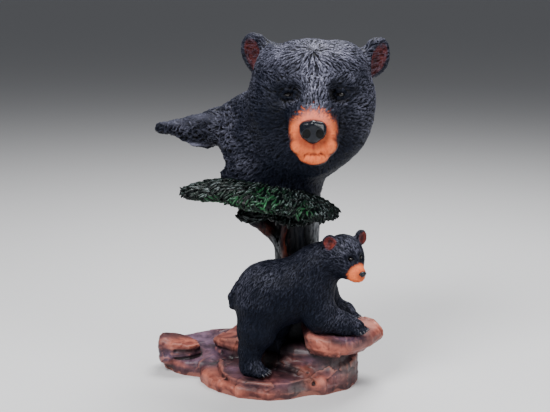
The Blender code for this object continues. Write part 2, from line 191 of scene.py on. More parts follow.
def blended(a, b, soft):
    """The smaller of two distances, with the corner between them filled over softness."""
    overlap = np.maximum(soft - np.abs(a - b), 0) / soft
    return np.minimum(a, b) - overlap * overlap * soft / 4


def turn_matrix(turn):
    """A turn by degrees about X, Y and Z."""
    return Euler([math.radians(angle) for angle in turn]).to_matrix()


def ball_distance(points, stance, radii):
    """Distance from points to an egg that stands in a stance, below 0 inside it."""
    local = (points - np.array(stance.translation)) @ np.array(stance.to_3x3())
    near = np.linalg.norm(local / radii, axis=1)
    slope = np.linalg.norm(local / radii**2, axis=1)
    return near * (near - 1) / np.maximum(slope, 1e-6)


def limb_distance(points, first, last):
    """Distance from points to a tapering rod between two stations, below 0 inside it."""
    along = last[:3] - first[:3]
    share = np.clip((points - first[:3]) @ along / (along @ along), 0, 1)
    centre = first[:3] + share[:, None] * along
    radius = first[3] + share * (last[3] - first[3])
    return np.linalg.norm(points - centre, axis=1) - radius


def outline_distance(points, outline):
    """Distance from points of (x, y) to a closed outline, below 0 inside it."""
    nearest = np.full(len(points), 1e9)
    inside = np.zeros(len(points), bool)
    for a, b in zip(outline, np.roll(outline, -1, axis=0)):
        side = b - a
        offset = points - a
        share = np.clip(offset @ side / (side @ side), 0, 1)
        gap = offset - share[:, None] * side
        nearest = np.minimum(nearest, np.einsum("ij,ij->i", gap, gap))
        spans = (a[1] > points[:, 1]) != (b[1] > points[:, 1])
        rise = side[1] if abs(side[1]) > 1e-9 else 1e-9
        inside ^= spans & (points[:, 0] < a[0] + side[0] * (points[:, 1] - a[1]) / rise)
    return np.sqrt(nearest) * np.where(inside, -1, 1)


def slab_distance(points, outline, levels):
    """Distance from points to a flat stone with a worn edge, below 0 inside it."""
    low, high, edge, lean = levels
    middle = outline.mean(axis=0)
    top = high + (points[:, :2] - middle) @ np.array(lean)
    flat = outline_distance(points[:, :2], outline) + edge
    upright = np.maximum(points[:, 2] - top, low - points[:, 2]) + edge
    outside = np.linalg.norm(np.maximum(np.stack([flat, upright]), 0), axis=0)
    return outside + np.minimum(np.maximum(flat, upright), 0) - edge


def ball_bounds(stance, radii):
    """Middle and reach of an egg."""
    return np.array(stance.translation), radii.max()


def limb_bounds(first, last):
    """Middle and reach of a tapering rod."""
    half = np.linalg.norm(last[:3] - first[:3]) / 2
    return (first[:3] + last[:3]) / 2, half + max(first[3], last[3])


def slab_bounds(outline, levels):
    """Middle and reach of a flat stone."""
    low, high, _, lean = levels
    middle = outline.mean(axis=0)
    across = np.linalg.norm(outline - middle, axis=1).max()
    rise = (high - low) / 2 + across * np.linalg.norm(lean)
    return np.array((*middle, (low + high) / 2)), math.hypot(across, rise)


def ball_block(stance, radii):
    """An egg as a rough closed mesh."""
    piece = bmesh.new()
    place = stance @ Matrix.Diagonal((*radii, 1))
    bmesh.ops.create_uvsphere(piece, u_segments=24, v_segments=14, radius=1, matrix=place)
    return [mesh_from(piece, "rough_ball")]


def limb_block(first, last):
    """A tapering rod as a row of rough balls."""
    length = np.linalg.norm(last[:3] - first[:3])
    steps = max(2, int(3 * length / min(first[3], last[3])))
    balls = []
    for share in np.linspace(0, 1, steps):
        *centre, radius = first + share * (last - first)
        balls += ball_block(Matrix.Translation(centre), (radius, radius, radius))
    return balls


def slab_block(outline, levels):
    """A flat stone as a closed block with sharp edges."""
    low, high, _, lean = levels
    middle = outline.mean(axis=0)
    piece = bmesh.new()
    foot = [piece.verts.new((x, y, low)) for x, y in outline]
    grown = bmesh.ops.extrude_face_region(piece, geom=[piece.faces.new(foot)])
    top = [part for part in grown["geom"] if isinstance(part, bmesh.types.BMVert)]
    for vert in top:
        vert.co.z = high + (vert.co.x - middle[0]) * lean[0] + (vert.co.y - middle[1]) * lean[1]
    bmesh.ops.recalc_face_normals(piece, faces=piece.faces)
    return [mesh_from(piece, "rough_slab")]


DISTANCES = {"ball": ball_distance, "limb": limb_distance, "slab": slab_distance}
BOUNDS = {"ball": ball_bounds, "limb": limb_bounds, "slab": slab_bounds}
BLOCKS = {"ball": ball_block, "limb": limb_block, "slab": slab_block}


def mesh_from(worked, name):
    """A named mesh of a bmesh, which is then freed."""
    mesh = bpy.data.meshes.new(name)
    worked.to_mesh(mesh)
    worked.free()
    return mesh


def mirrored(x):
    """The two places of a feature this far either side of the bust's face."""
    return [(HEAD_MID - x, -1), (HEAD_MID + x, 1)]


# Middles and radii of the eyes
EYES = ((9.4, -40.2, 221.6), (44.4, -40.2, 221.6))
EYE_RADIUS = 2.9
CUB_EYES = ((53.6, -40.7, 105.1), (60.8, -35.6, 105.1))
CUB_EYE_RADIUS = 1.3

# The bust's ears: middle, and the side that each leans to
EARS = (((-13.5, 9, 246.5), -1), ((73, 11, 243), 1))


def ear_cup(centre, side):
    """Middle, radii and turn of the hollow at the front of one of the bust's ears."""
    x, y, z = centre
    return (x + side * 3.0, y - 6.5, z - 1.0), (6.5, 6.2, 13.4), (6, side * 24, side * 20)


def model_bust(clay):
    """The big bear: skull, cheeks, muzzle, neck and the point that the neck runs out in."""
    clay.ball((HEAD_MID, -1, 219), (44, 45, 38))
    clay.ball((HEAD_MID, -22, 233), (31, 24, 21), soft=12)
    for x, side in mirrored(24):
        clay.ball((x, -9, 206), (21.4 - side * 0.7, 31, 29), soft=10)
        clay.ball((x - side * 1.5, 2, 238), (17, 24, 17), soft=8)
    for x, side in mirrored(15):
        clay.ball((x, -13, 189), (20, 27, 21), turn=(0, side * 16, 0), soft=10)
    clay.ball((HEAD_MID - 7, -6, 178), (30, 28, 24), soft=12)
    model_neck(clay)
    model_muzzle(clay)
    model_eye_sockets(clay)
    for centre, side in EARS:
        model_ear(clay, centre, side)
    clay.ball((4, -2, 257), (4.5, 20, 4.5), soft=4, cut=True)


def model_neck(clay):
    """The neck widens to the left, where its lower edge is cut away and it ends in a point."""
    clay.ball((2, 14, 176), (42, 34, 33), soft=14)
    clay.ball((-4, 27, 195), (36, 29, 24), soft=14)
    clay.ball((-15, 8, 159), (25, 24, 17), soft=10)
    clay.limb([(4, 12, 168, 29), (9, 12, 150, 24.4), (15.5, 13, 134, 17.4)], soft=10)
    clay.limb([(-14, 24, 190, 24), (-42, 27, 190, 14.5)], soft=8)
    tip = [(-42, 27, 190, 14.5), (-60, 30, 189.3, 9.4), (-74, 32, 189, 6.0), (-87, 33, 188.6, 4.0)]
    clay.limb(tip, soft=3)
    clay.ball((-66, 20, 168), (33, 50, 12.5), turn=(0, 4, 0), soft=2, cut=True)
    fold = [(-22, -8, 226, 3), (-27, -12, 210, 3.4), (-27, -20, 194, 3.4), (-20, -28, 180, 3)]
    clay.limb(fold, soft=9, cut=True)
    clay.limb([(-71, 30, 184, 3.4), (-61, 28, 181.4, 4.6), (-50, 26, 179.6, 5.4)], soft=3)
    clay.limb([(-70.6, 27.6, 180.8, 1.2), (-61, 25.6, 177.6, 1.5), (-52, 24, 175.6, 1.2)], soft=2)


def model_muzzle(clay):
    """Bridge, lips, chin and throat of the bust, with the groove under its nose."""
    bridge = [(HEAD_MID, -28, 230, 17), (HEAD_MID, -46, 216, 13.5), (HEAD_MID, -59, 206, 11.5)]
    clay.limb(bridge, soft=12)
    clay.ball((HEAD_MID, -52, 199), (16.4, 23, 16), soft=8)
    clay.limb([(HEAD_MID, -48, 188, 9), (HEAD_MID - 1, -28, 181, 18)], soft=8)
    for x, side in mirrored(8.6):
        clay.ball((x, -60, 191.6), (8.0, 13.5, 10.4), turn=(0, side * 14, side * 6), soft=4)
    clay.ball((HEAD_MID - 0.6, -62, 189.4), (6.4, 12.6, 6.6), soft=4)
    clay.ball((HEAD_MID, -58.6, 181.8), (10.2, 13.2, 6.8), soft=1.6)
    clay.groove([(NOSE_MID + 0.4, -76.5, 194), (NOSE_MID + 0.4, -74.9, 185.6)], 0.55, soft=0.8)
    lip = [(-6.5, -71, 184.6), (-3, -73.6, 185.0), (0.4, -74.4, 184.4)]
    lip += [(4, -73.6, 185.0), (7.5, -71, 184.6)]
    clay.groove([(NOSE_MID + x, y, z) for x, y, z in lip], 0.4, soft=0.8)


def model_eye_sockets(clay):
    """Shallow sockets under a brow, with lids that leave each eye half shut."""
    upper = [(-4.6, -0.2, 0.2), (-1.8, -2.2, 2.5), (2.0, -2.0, 2.3), (5.2, 1.4, -0.6)]
    lower = [(-4.6, -0.2, -0.2), (-1.4, -1.8, -2.5), (2.4, -1.4, -2.6), (5.2, 1.4, -1.0)]
    for (x, y, z), side in zip(EYES, (-1, 1)):
        clay.ball((x - side, y - 7.6, z), (8.4, 8.4, 5.6), turn=(0, side * 8, 0), soft=8, cut=True)
        brow = [(x - side * 7, y - 1, z + 7.6, 2.6), (x + side * 7, y + 2, z + 7.2, 2.6)]
        clay.limb(brow, soft=5)
        for lid, radius in ((upper, 1.2), (lower, 0.95)):
            clay.limb([(x + side * dx, y + dy, z + dz, radius) for dx, dy, dz in lid], soft=1.4)


def model_ear(clay, centre, side):
    """A tall cup that leans outwards, open at the front of its outer half."""
    x, y, z = centre
    clay.limb([(x - side * 8, y - 2, z - 4, 7.5), (x - side * 17, y - 4, z - 6, 10)], soft=8)
    clay.ball(centre, (11.6, 6.2, 15.0), turn=(6, side * 14, side * 24), soft=5)
    flap = [(-7.5, -5, -11, 5.2), (-6.2, -6.2, 1, 4.0), (-2.5, -5.2, 10.5, 2.8)]
    clay.limb([(x + side * dx, y + dy, z + dz, radius) for dx, dy, dz, radius in flap], soft=3)
    place, radii, turn = ear_cup(centre, side)
    clay.ball(place, radii, turn=turn, soft=1.6, cut=True)


def nostril(side):
    """Middle, radii and turn of one nostril of the bust."""
    return (NOSE_MID + side * 4.5, -78.0, 199.2), (2.4, 3.9, 3.0), (0, side * -24, side * 14)


def model_bear_nose(clay):
    """A broad nose pad with a thick upper rim and winged nostrils."""
    clay.ball((NOSE_MID, -71.5, 203.4), (9.0, 6.6, 4.8), soft=2)
    rim = [(-5.6, -74.6, 204.6, 1.9), (0, -76.6, 205.4, 2.3), (5.6, -74.6, 204.6, 1.9)]
    clay.limb([(NOSE_MID + x, y, z, radius) for x, y, z, radius in rim], soft=1.6)
    clay.ball((NOSE_MID, -73.2, 198.6), (5.8, 5.0, 6.4), soft=4)
    for side in (-1, 1):
        wing = (NOSE_MID + side * 5.0, -73.0, 199.8)
        clay.ball(wing, (3.8, 4.8, 5.0), turn=(0, side * 16, 0), soft=1.6)
        place, radii, turn = nostril(side)
        clay.ball(place, radii, turn=turn, soft=0.9, cut=True)
        slit = [(5.6, -77.2, 197.8), (7.6, -75.2, 196.9), (9.2, -72.4, 198.2)]
        clay.groove([(NOSE_MID + side * x, y, z) for x, y, z in slit], 0.7)
    clay.groove([(NOSE_MID, -79.8, 201.6), (NOSE_MID, -79.2, 196), (NOSE_MID, -77, 191.6)], 0.45)


def model_cub_nose(clay):
    """A small flat pad across the tip of the cub's muzzle, with two nostrils."""
    clay.ball((61.8, -44.6, 95.4), (3.1, 2.1, 1.7), turn=(0, 0, 38), soft=1)
    clay.ball((61.6, -44.8, 94.4), (1.5, 1.6, 1.4), turn=(0, 0, 38), soft=1)
    for x, y in ((60.4, -46.2), (63.2, -45.0)):
        clay.ball((x, y, 94.8), (0.6, 0.9, 0.6), soft=0.3, cut=True)


def model_trunk(clay):
    """The trunk behind the cub, with its left branch and ribs of bark."""
    clay.limb([(18, 20, 12, 27), (17, 19, 44, 18), (17.5, 17, 84, 15.5)], soft=6)
    clay.limb([(17.5, 17, 84, 15.5), (17, 15, 122, 15.2), (14, 14, 140, 14)], soft=4)
    branch = [(6, 15, 58, 8), (6.2, 14, 96, 5.4), (2, 12, 107, 4.6), (-6, 11, 114.5, 4.2)]
    clay.limb(branch, soft=3)
    clay.limb([(-6, 11, 114.5, 4.2), (-15, 9, 123, 5), (-22, 8, 132, 6)], soft=3)
    clay.ball((0.5, 1, 116), (5.5, 9, 7), turn=(0, 20, 0), soft=2, cut=True)
    clay.ball((-1, 18, 121), (12, 6, 13), soft=3)
    rib = [(9.5, 3, 60, 3), (9, 1.5, 90, 2.4), (4.8, 1.5, 107, 2.1), (8, -0.5, 124, 2.6)]
    clay.limb(rib, soft=1.5)
    clay.limb([(28, 10, 40, 6), (28, 6, 90, 5), (27.5, 4, 128, 6)], soft=2)
    clay.limb([(18, 2, 60, 3), (19, 0.5, 95, 2.4), (17, -0.5, 126, 3)], soft=2)
    clay.limb([(-2.4, 6.4, 110.5, 1.3), (1.8, 4.2, 103, 1.3), (5.6, 1.8, 95, 1.1)], soft=0.8)


def model_bough(clay):
    """Flat sprays that wrap round the front of the trunk."""
    clay.ball((-36, -8, 148.8), (32, 19, 5.6), turn=(6, -3, 6), soft=3)
    clay.ball((-8, -20, 146.5), (36, 22, 6.6), turn=(14, 8, -4), soft=5)
    clay.ball((19, -20, 139.5), (26.5, 19, 5.0), turn=(12, 12, -8), soft=4)
    clay.ball((-13, 0, 130.5), (14.5, 13, 6.4), turn=(0, -14, 0), soft=4)
    clay.ball((12, -12, 132.5), (20, 16, 5.0), turn=(16, 6, 0), soft=4)
    clay.ball((16, 30, 143), (18, 17, 5.0), turn=(-10, 6, 20), soft=4)


def model_cub(clay):
    """The cub stands with its hind feet on the step and its forepaws on the ledge."""
    clay.ball((-5, -14, 71), (24.6, 22, 25.5), soft=8)
    clay.ball((12, -15, 74), (24, 22, 24), soft=8)
    clay.ball((25, -17, 83), (17.6, 20, 23.5), soft=8)
    clay.ball((34.6, -21, 96), (16, 15, 17), turn=(0, 25, 0), soft=8)
    model_cub_head(clay)
    clay.limb([(-26, -15, 78, 4), (-31.2, -15, 69.5, 3.5), (-31.6, -15, 62.8, 2.7)], soft=1.0)
    model_cub_legs(clay)


# The cub's ears: middle, radii and turn, and where the hollow at the front of each lies from it
CUB_EARS = (
    ((39.2, -31.6, 114.8), (5.7, 3.3, 5.6), (0, -14, -8)),
    ((62.0, -20.4, 115.8), (6.4, 3.3, 5.9), (0, 16, 52)),
)
CUB_EAR_FRONTS = ((-0.5, -3.2, 0.4), (2.6, -2.2, 0))


def model_cub_head(clay):
    """The cub's head, turned to the front right, with its muzzle, eye sockets and ears."""
    clay.ball((49.2, -27, 105), (14.5, 15, 14.8), soft=7)
    clay.ball((52.4, -31.5, 99.6), (10.4, 11, 10), soft=6)
    clay.limb([(54.6, -36, 96.4, 7.4), (58.9, -40.6, 94.3, 5.7)], soft=4)
    clay.ball((57.6, -39.5, 91.6), (5.4, 5.8, 3.8), turn=(0, 0, 38), soft=1.6)
    clay.ball((53.4, -33.6, 107.6), (7, 6, 4), turn=(0, 20, 30), soft=5)
    mouth = [(62.2, -44.2, 92.4), (60.2, -44.6, 90.8), (57, -43.8, 90.6), (53.4, -41, 92.0)]
    clay.groove(mouth, 0.45)
    for x, y in ((54.3, -42.7), (62.5, -36.8)):
        clay.ball((x, y, 105.2), (2.5, 3.2, 1.9), turn=(0, 6, 38), soft=2.5, cut=True)
    for (centre, radii, turn), out in zip(CUB_EARS, CUB_EAR_FRONTS):
        centre, out = Vector(centre), Vector(out)
        clay.ball(centre, radii, turn=turn, soft=2.5)
        clay.ball(centre + out, [r * 0.74 for r in radii], turn=turn, soft=1.0, cut=True)
        pit = centre + out * 0.8 + Vector((0.4, 0, -0.6))
        clay.ball(pit, (1.4, 2.6, 1.5), soft=0.8, cut=True)


# Paws that show their toes: middle, the way each points in plan, and a toe's radius
PAWS = (
    ((-9.0, -33.2, STEP_TOP + 3.2), (0.9, -0.43), 2.1),
    ((62.2, -31.6, LEDGE_TOP + 3.0), (0.86, -0.5), 2.3),
    ((58.6, -6.4, LEDGE_TOP + 5.2), (0.88, -0.48), 2.1),
)


def toe_tips(middle, ahead, radius):
    """Places of the five toes across the front of a paw that points ahead in plan."""
    tips = []
    for row in range(-2, 3):
        reach = 2.2 - 0.45 * row * row
        across = row * radius * 1.15
        x = middle[0] + ahead[0] * reach - ahead[1] * across
        y = middle[1] + ahead[1] * reach + ahead[0] * across
        tips.append(((x, y, middle[2]), row))
    return tips


def model_cub_legs(clay):
    """Four legs with soft paws, and the toes at the front of three of them."""
    step, ledge = STEP_TOP, LEDGE_TOP
    near_hind = [(-10.4, -20, 59, 19.6), (-13.6, -25, 46.5, 13.6), (-18.2, -25.5, 31, 8.0)]
    clay.limb(near_hind + [(-18.8, -27, step + 7, 7.0)], soft=5)
    clay.limb([(-18.4, -27.4, step + 5, 7.0), (-13, -31, step + 4.4, 6.0)], soft=4)
    far_hind = [(-8, -6, 60, 17), (0, -3, 46, 12), (-5, 0, 32, 8.4), (5, -4, 26, 7.6)]
    clay.limb(far_hind, soft=5)
    near_fore = [(28, -24, 78, 15), (33, -28.5, ledge + 13, 11.5), (49, -29.5, ledge + 8, 7.6)]
    clay.limb(near_fore + [(59.4, -29.8, ledge + 4.9, 6)], soft=5)
    far_fore = [(35, -8, 75, 12), (43, -4, ledge + 14.4, 7.2), (53, -4, ledge + 9.6, 5.6)]
    clay.limb(far_fore + [(56.6, -5, ledge + 6.8, 5.0)], soft=4)
    for middle, ahead, radius in PAWS:
        for tip, _ in toe_tips(middle, ahead, radius):
            back = (tip[0] - ahead[0] * 4, tip[1] - ahead[1] * 4, tip[2] + 1.2)
            clay.limb([(*back, radius), (*tip, radius)], soft=0.8)


def model_rocks(clay):
    """Flat stones stacked into a base, with the ledge on the right."""
    apron = [(-57, 4), (-55.5, -8), (-50, -19), (-40, -30), (-27, -39), (-5, -45.5)]
    apron += [(10, -43), (24, -36), (40, -30), (44, 0), (0, 24), (-40, 18)]
    clay.slab(apron, ROCK_FOOT, APRON_TOP - 0.5, edge=5, soft=2)
    step = [(-44, 6), (-42, -10), (-40, -20), (-33, -31), (-24, -38), (-5, -43.5)]
    step += [(9, -41.5), (22, -34), (34, 0), (-10, 16)]
    clay.slab(step, ROCK_FOOT, STEP_TOP - 0.6, edge=1.8, lean=(0.02, 0.05), soft=1.5)
    shelf = [(-89, 33), (-86, 22), (-78, 11), (-70, 5), (-58, 2), (-46, -1)]
    shelf += [(-20, -6), (-6, 40), (-28, 60), (-52, 59), (-78, 50)]
    clay.slab(shelf, ROCK_FOOT, SHELF_TOP, edge=4, lean=(0.06, 0.14), soft=2)
    clay.limb([(-86, 16, 22, 5), (-84, 14, 12, 6)], soft=5)
    boulder = [(-92, 25), (-90, 14), (-80, 7), (-66, 6.5), (-57, 13), (-60, 24)]
    boulder += [(-76, 34), (-89, 34)]
    clay.slab(boulder, SHELF_TOP - 2, BOULDER_TOP, edge=4.5, lean=(-0.08, 0.06), soft=1.5)
    flake = [(-80, 7.6), (-66, 6.8), (-58, 13), (-64, 20), (-78, 18)]
    clay.slab(flake, 19.5, 24, edge=1.2, lean=(-0.1, 0.05), soft=1)
    wedge = [(-48, 21), (-44, 14), (-38, 9), (-30, 5), (-14, 2), (6, 12)]
    wedge += [(20, 50), (-8, 60), (-30, 58), (-40, 34)]
    clay.slab(wedge, ROCK_FOOT, BACK_ROCK_TOP, edge=2.2, lean=(0.14, -0.08), soft=1.5)
    core = [(4, -14), (14, -22), (30, -27), (42, -27), (52, -20), (58, -6)]
    core += [(58, 16), (46, 42), (10, 54)]
    clay.slab(core, ROCK_FOOT, CORE_TOP - 2, edge=6, soft=3)
    foot = [(24, -29), (42, -31), (54, -24), (60, -13), (63.5, -2), (58, 12), (30, 0)]
    clay.slab(foot, ROCK_FOOT, APRON_TOP + 11.5, edge=4.5, lean=(0.06, 0.1), soft=2.5)
    rubble = [(-4, -6, 17, 6), (8, -16, 17, 6), (18, -24, 14, 6.5), (27, -27, 8, 7)]
    clay.limb(rubble + [(34, -27, 2, 8)], soft=3)
    under = [(25, -31), (36, -36.5), (54, -35), (67, -25), (73, -10), (71, 6), (50, 12), (26, 0)]
    clay.slab(under, LEDGE_TOP - 17, LEDGE_TOP - 4, edge=5, lean=(0.02, 0), soft=2.5)
    ledge = [(22, -31), (30, -37), (40, -40), (56, -38), (72, -26), (81, -8)]
    ledge += [(78, 8), (62, 18), (36, 22), (20, 8)]
    ledge_foot = LEDGE_TOP - LEDGE_THICKNESS
    clay.slab(ledge, ledge_foot, LEDGE_TOP, edge=5.6, lean=(-0.04, 0.05), soft=2)
    cut_rock_cracks(clay)


# Cracks and gaps in the stones, in the order they are cut: one radius or None, softness, and
# points of (x, y, z) or stations of (x, y, z, radius)
ROCK_CRACKS = (
    (1.7, 0.8, ((-77, 6.5, 18.6), (-70, 5.4, 18.4), (-61, 8, 18.4), (-55, 15, 18.8))),
    (None, 0.6, ((-55, 31, 17.6, 0.8), (-46, 18, 17, 1.1), (-38, 7, 15.8, 1.8), (-34, 3, 15, 1.8))),
    (1.3, 0.8, ((-50, 30, 20), (-46, 16, 19.4), (-38, 8, 19), (-29, 3, 18.6))),
    (None, 0.8, ((-57, -5, 7, 0.9), (-50, -3, 10.6, 1.2), (-43, 0, 13.4, 1.8), (-34, 4, 15, 2.3))),
    (0.9, 0.6, (
        (-37, -8, 14), (-42, -11, 12), (-40, -21, 11), (-34.6, -31.5, 9.6), (-24, -39.6, 8.2),
    )),
    (0.6, 0.6, ((-24, -39.6, 8.2), (-16.3, -44.6, 5.4), (-15, -46, 2))),
    (None, 0.9, (
        (-11, -3, 18.5, 2.6), (3, -17, 17.5, 2.8), (18, -30, 15.4, 2.4), (32, -36, 6.6, 1.5),
    )),
    (1.6, 1, (
        (21, -30, 44), (23.4, -34, 38), (29, -36, 31),
        (40, -37, 28.4), (54, -34, 27.6), (66, -22, 28),
    )),
    (1.7, 0.6, ((34, -39.6, 46), (42, -42.6, 43), (51, -42, 39.4))),
    (0.8, 0.6, ((26, -34, 45), (33, -38, 42.4), (38, -40, 38))),
    (1.7, 0.6, ((47, -34, 22), (54, -29, 23.4), (62, -18, 25))),
    (1.2, 0.6, ((44, -34, 26), (50, -32, 20), (56, -26, 21), (60, -20, 18), (64, -10, 20))),
    (1.1, 0.6, ((36, -34, 27), (40, -34, 24), (46, -33, 24))),
    (0.9, 0.8, ((-80, 4, 12), (-66, 1, 9.6), (-54, -4, 9))),
    (0.9, 0.7, ((-4, -46, 9), (8, -44, 10), (18, -39, 9))),
    (0.8, 0.8, ((-10, -30, 14.6), (2, -34, 14.8), (14, -33, 14.6))),
    (0.9, 0.6, ((36, -33, 23), (42, -33, 20.6), (47, -32, 20))),
    (0.9, 0.6, ((50, -30, 15.4), (56, -24, 16.4))),
    (0.9, 0.6, ((60, -17, 12), (63, -11, 8))),
)

# Small holes in the stones: middle and size
ROCK_HOLES = (
    ((31.3, -34.6, 14.0), 1.7),
    ((2.2, -46, 5), 1.3),
    ((62, -16, 17), 1.6),
    ((24, -33, 16), 1.0),
)


def cut_rock_cracks(clay):
    """Cracks, gaps and small holes between and across the stones."""
    for radius, soft, points in ROCK_CRACKS:
        if radius is None:
            clay.limb(points, soft=soft, cut=True)
        else:
            clay.groove(points, radius, soft=soft)
    for centre, size in ROCK_HOLES:
        clay.ball(centre, (size * 1.3, 4, size * 0.8), turn=(0, -12, 0), soft=0.8, cut=True)


def remeshed(mesh, voxel):
    """The mesh rebuilt from small even faces."""
    worked = bpy.data.objects.new("worked", mesh)
    bpy.context.collection.objects.link(worked)
    remesh = worked.modifiers.new("Even_faces", "REMESH")
    remesh.mode = "VOXEL"
    remesh.voxel_size = voxel
    graph = bpy.context.evaluated_depsgraph_get()
    rebuilt = bpy.data.meshes.new_from_object(worked.evaluated_get(graph))
    bpy.data.objects.remove(worked)
    bpy.data.meshes.remove(mesh)
    return rebuilt


def read(mesh, field):
    """The mesh's points, with field "co", or else its points' normals."""
    values = np.empty(len(mesh.vertices) * 3, np.float32)
    if field == "co":
        mesh.vertices.foreach_get("co", values)
    else:
        mesh.vertex_normals.foreach_get("vector", values)
    return values.reshape(-1, 3).astype(float)


def write(mesh, points):
    """Moves the mesh's points to these places."""
    mesh.vertices.foreach_set("co", points.astype(np.float32).ravel())
    mesh.update()


def slope(clay, points, step=0.2):
    """Which way the field rises, from four samples round each point."""
    corners = np.array([(1, -1, -1), (-1, -1, 1), (-1, 1, -1), (1, 1, 1)], float)
    rise = sum(corner * clay.field(points + corner * step)[:, None] for corner in corners)
    return rise / np.maximum(np.linalg.norm(rise, axis=1, keepdims=True), 1e-9)


def drawn_smooth(mesh, clay, rounds, reach):
    """Each point moved onto the clay's smooth surface, by at most reach a round."""
    points = read(mesh, "co")
    for _ in range(rounds):
        distance = np.clip(clay.field(points), -reach, reach)
        points -= slope(clay, points) * distance[:, None]
    write(mesh, points)
    return mesh


def sculpted(maker, voxel):
    """The smooth mesh of the clay that maker models."""
    clay = Clay()
    maker(clay)
    mesh = remeshed(clay.block(), voxel * 2.5)
    mesh = drawn_smooth(mesh, clay, rounds=3, reach=voxel * 3)
    mesh = remeshed(mesh, voxel)
    return drawn_smooth(mesh, clay, rounds=2, reach=voxel)


def noise(points, size, seed=0, octaves=3):
    """Smooth noise from -1 to 1 with bumps of about this size, and finer ones in each octave."""
    total, weight, share = np.zeros(len(points)), 0.0, 1.0
    for octave in range(octaves):
        scaled = points / size * 2**octave + seed * 17.3 + octave * 5.1
        cell = np.floor(scaled).astype(np.int64)
        inside = scaled - cell
        inside = inside * inside * (3 - 2 * inside)
        for corner in np.ndindex(2, 2, 2):
            lattice = cell + corner
            mixed = lattice @ np.array((73856093, 19349663, 83492791)) + seed * 2654435761
            mixed = (mixed ^ (mixed >> 13)) * 1274126177
            value = ((mixed ^ (mixed >> 16)) & 0xFFFF) / 32767.5 - 1
            near = np.where(corner, inside, 1 - inside)
            total += share * value * near.prod(axis=1)
        weight += share
        share /= 2
    return total / weight


def tangent(directions, normals):
    """Directions laid flat on the surface, each 1 long."""
    flat = directions - normals * np.einsum("ij,ij->i", directions, normals)[:, None]
    return flat / np.maximum(np.linalg.norm(flat, axis=1, keepdims=True), 1e-9)


def scattered(points, spacing, chance):
    """Indices of points about this far apart."""
    order = chance.permutation(len(points))
    cells = np.floor(points[order] / spacing).astype(np.int64)
    keys = cells @ np.array((1, 4096, 4096 * 4096))
    first = np.unique(keys, return_index=True)[1]
    return order[first]


def swung(ahead, side, angle):
    """Both directions turned in their plane, ahead towards side."""
    cos, sin = np.cos(angle), np.sin(angle)
    return ahead * cos + side * sin, side * cos - ahead * sin


def nearest(points, places, count):
    """Which places lie nearest to each point, the nearest first."""
    tree = KDTree(len(places))
    for index, place in enumerate(places):
        tree.insert(place, index)
    tree.balance()
    return np.array([[index for _, index, _ in tree.find_n(point, count)] for point in points])


def strokes(points, normals, flow, cutting, chance, stray):
    """Height of overlapping tapered strokes along a flow: 0 in the grooves, 1 on the ridges.

    stray is how far, in radians, strokes turn off the flow.
    """
    spacing, length, width, _ = cutting
    taken = scattered(points, spacing, chance)
    ahead = tangent(flow[taken], normals[taken])
    side = np.cross(normals[taken], ahead)
    angle = (chance.normal(0, 1, len(taken)) * stray)[:, None]
    ahead, side = swung(ahead, side, angle)
    long = length / 2 * chance.uniform(0.7, 1.3, len(taken))
    wide = width / 2 * chance.uniform(0.75, 1.3, len(taken))
    bend = chance.normal(0, 0.5, len(taken))
    tall = chance.uniform(0.55, 1.0, len(taken))
    height = np.zeros(len(points))
    for column in nearest(points, points[taken], STROKES_NEAR).T:
        offset = points - points[taken[column]]
        along = np.einsum("ij,ij->i", offset, ahead[column]) / long[column]
        aside = np.einsum("ij,ij->i", offset, side[column]) / wide[column]
        aside = aside + bend[column] * along**2
        taper = np.sqrt(np.clip(1 - np.abs(along) ** 2.2, 0.0025, 1))
        ridge = np.clip(1 - np.abs(aside / taper) ** 1.7, 0, 1)
        ridge = ridge * (0.75 + 0.25 * along) * tall[column]
        height = np.maximum(height, np.where(np.abs(along) < 1, ridge, 0))
    return height


def hollows(mesh, rounds):
    """How far each point lies below its neighbourhood, along its normal."""
    points, normals = read(mesh, "co"), read(mesh, "normal")
    ends = np.empty(len(mesh.edges) * 2, np.int32)
    mesh.edges.foreach_get("vertices", ends)
    first, last = ends.reshape(-1, 2).T
    count = np.bincount(ends, minlength=len(points)).astype(float)
    smooth = points.copy()
    for _ in range(rounds):
        total = [
            np.bincount(first, smooth[last, axis], len(points))
            + np.bincount(last, smooth[first, axis], len(points))
            for axis in range(3)
        ]
        smooth = np.stack(total, axis=1) / count[:, None]
    return np.einsum("ij,ij->i", smooth - points, normals)


def keep(mesh, **layers):
    """Numbers for each point, stored under the names that the materials read."""
    for name, values in layers.items():
        layer = mesh.attributes.new(name, "FLOAT", "POINT")
        layer.data.foreach_set("value", values.astype(np.float32))


def keep_flow(mesh, vectors):
    """The direction of the fur at each point, stored for the materials."""
    layer = mesh.attributes.new("flow", "FLOAT_VECTOR", "POINT")
    layer.data.foreach_set("vector", vectors.astype(np.float32).ravel())


def spot(points, centre, radii):
    """1 at the centre of an egg, falling smoothly to 0 a little outside it."""
    away = np.linalg.norm((points - centre) / radii, axis=1)
    return np.exp(-(away**2))


def rise(values, low, high):
    """0 below low, 1 above high and smooth between."""
    share = np.clip((values - low) / (high - low), 0, 1)
    return share * share * (3 - 2 * share)


def egg(points, centre, radii, turn=(0, 0, 0)):
    """Distance of each point from an egg's middle, as a share of its radius there."""
    local = (points - np.array(centre)) @ np.array(turn_matrix(turn))
    return np.linalg.norm(local / np.array(radii), axis=1)


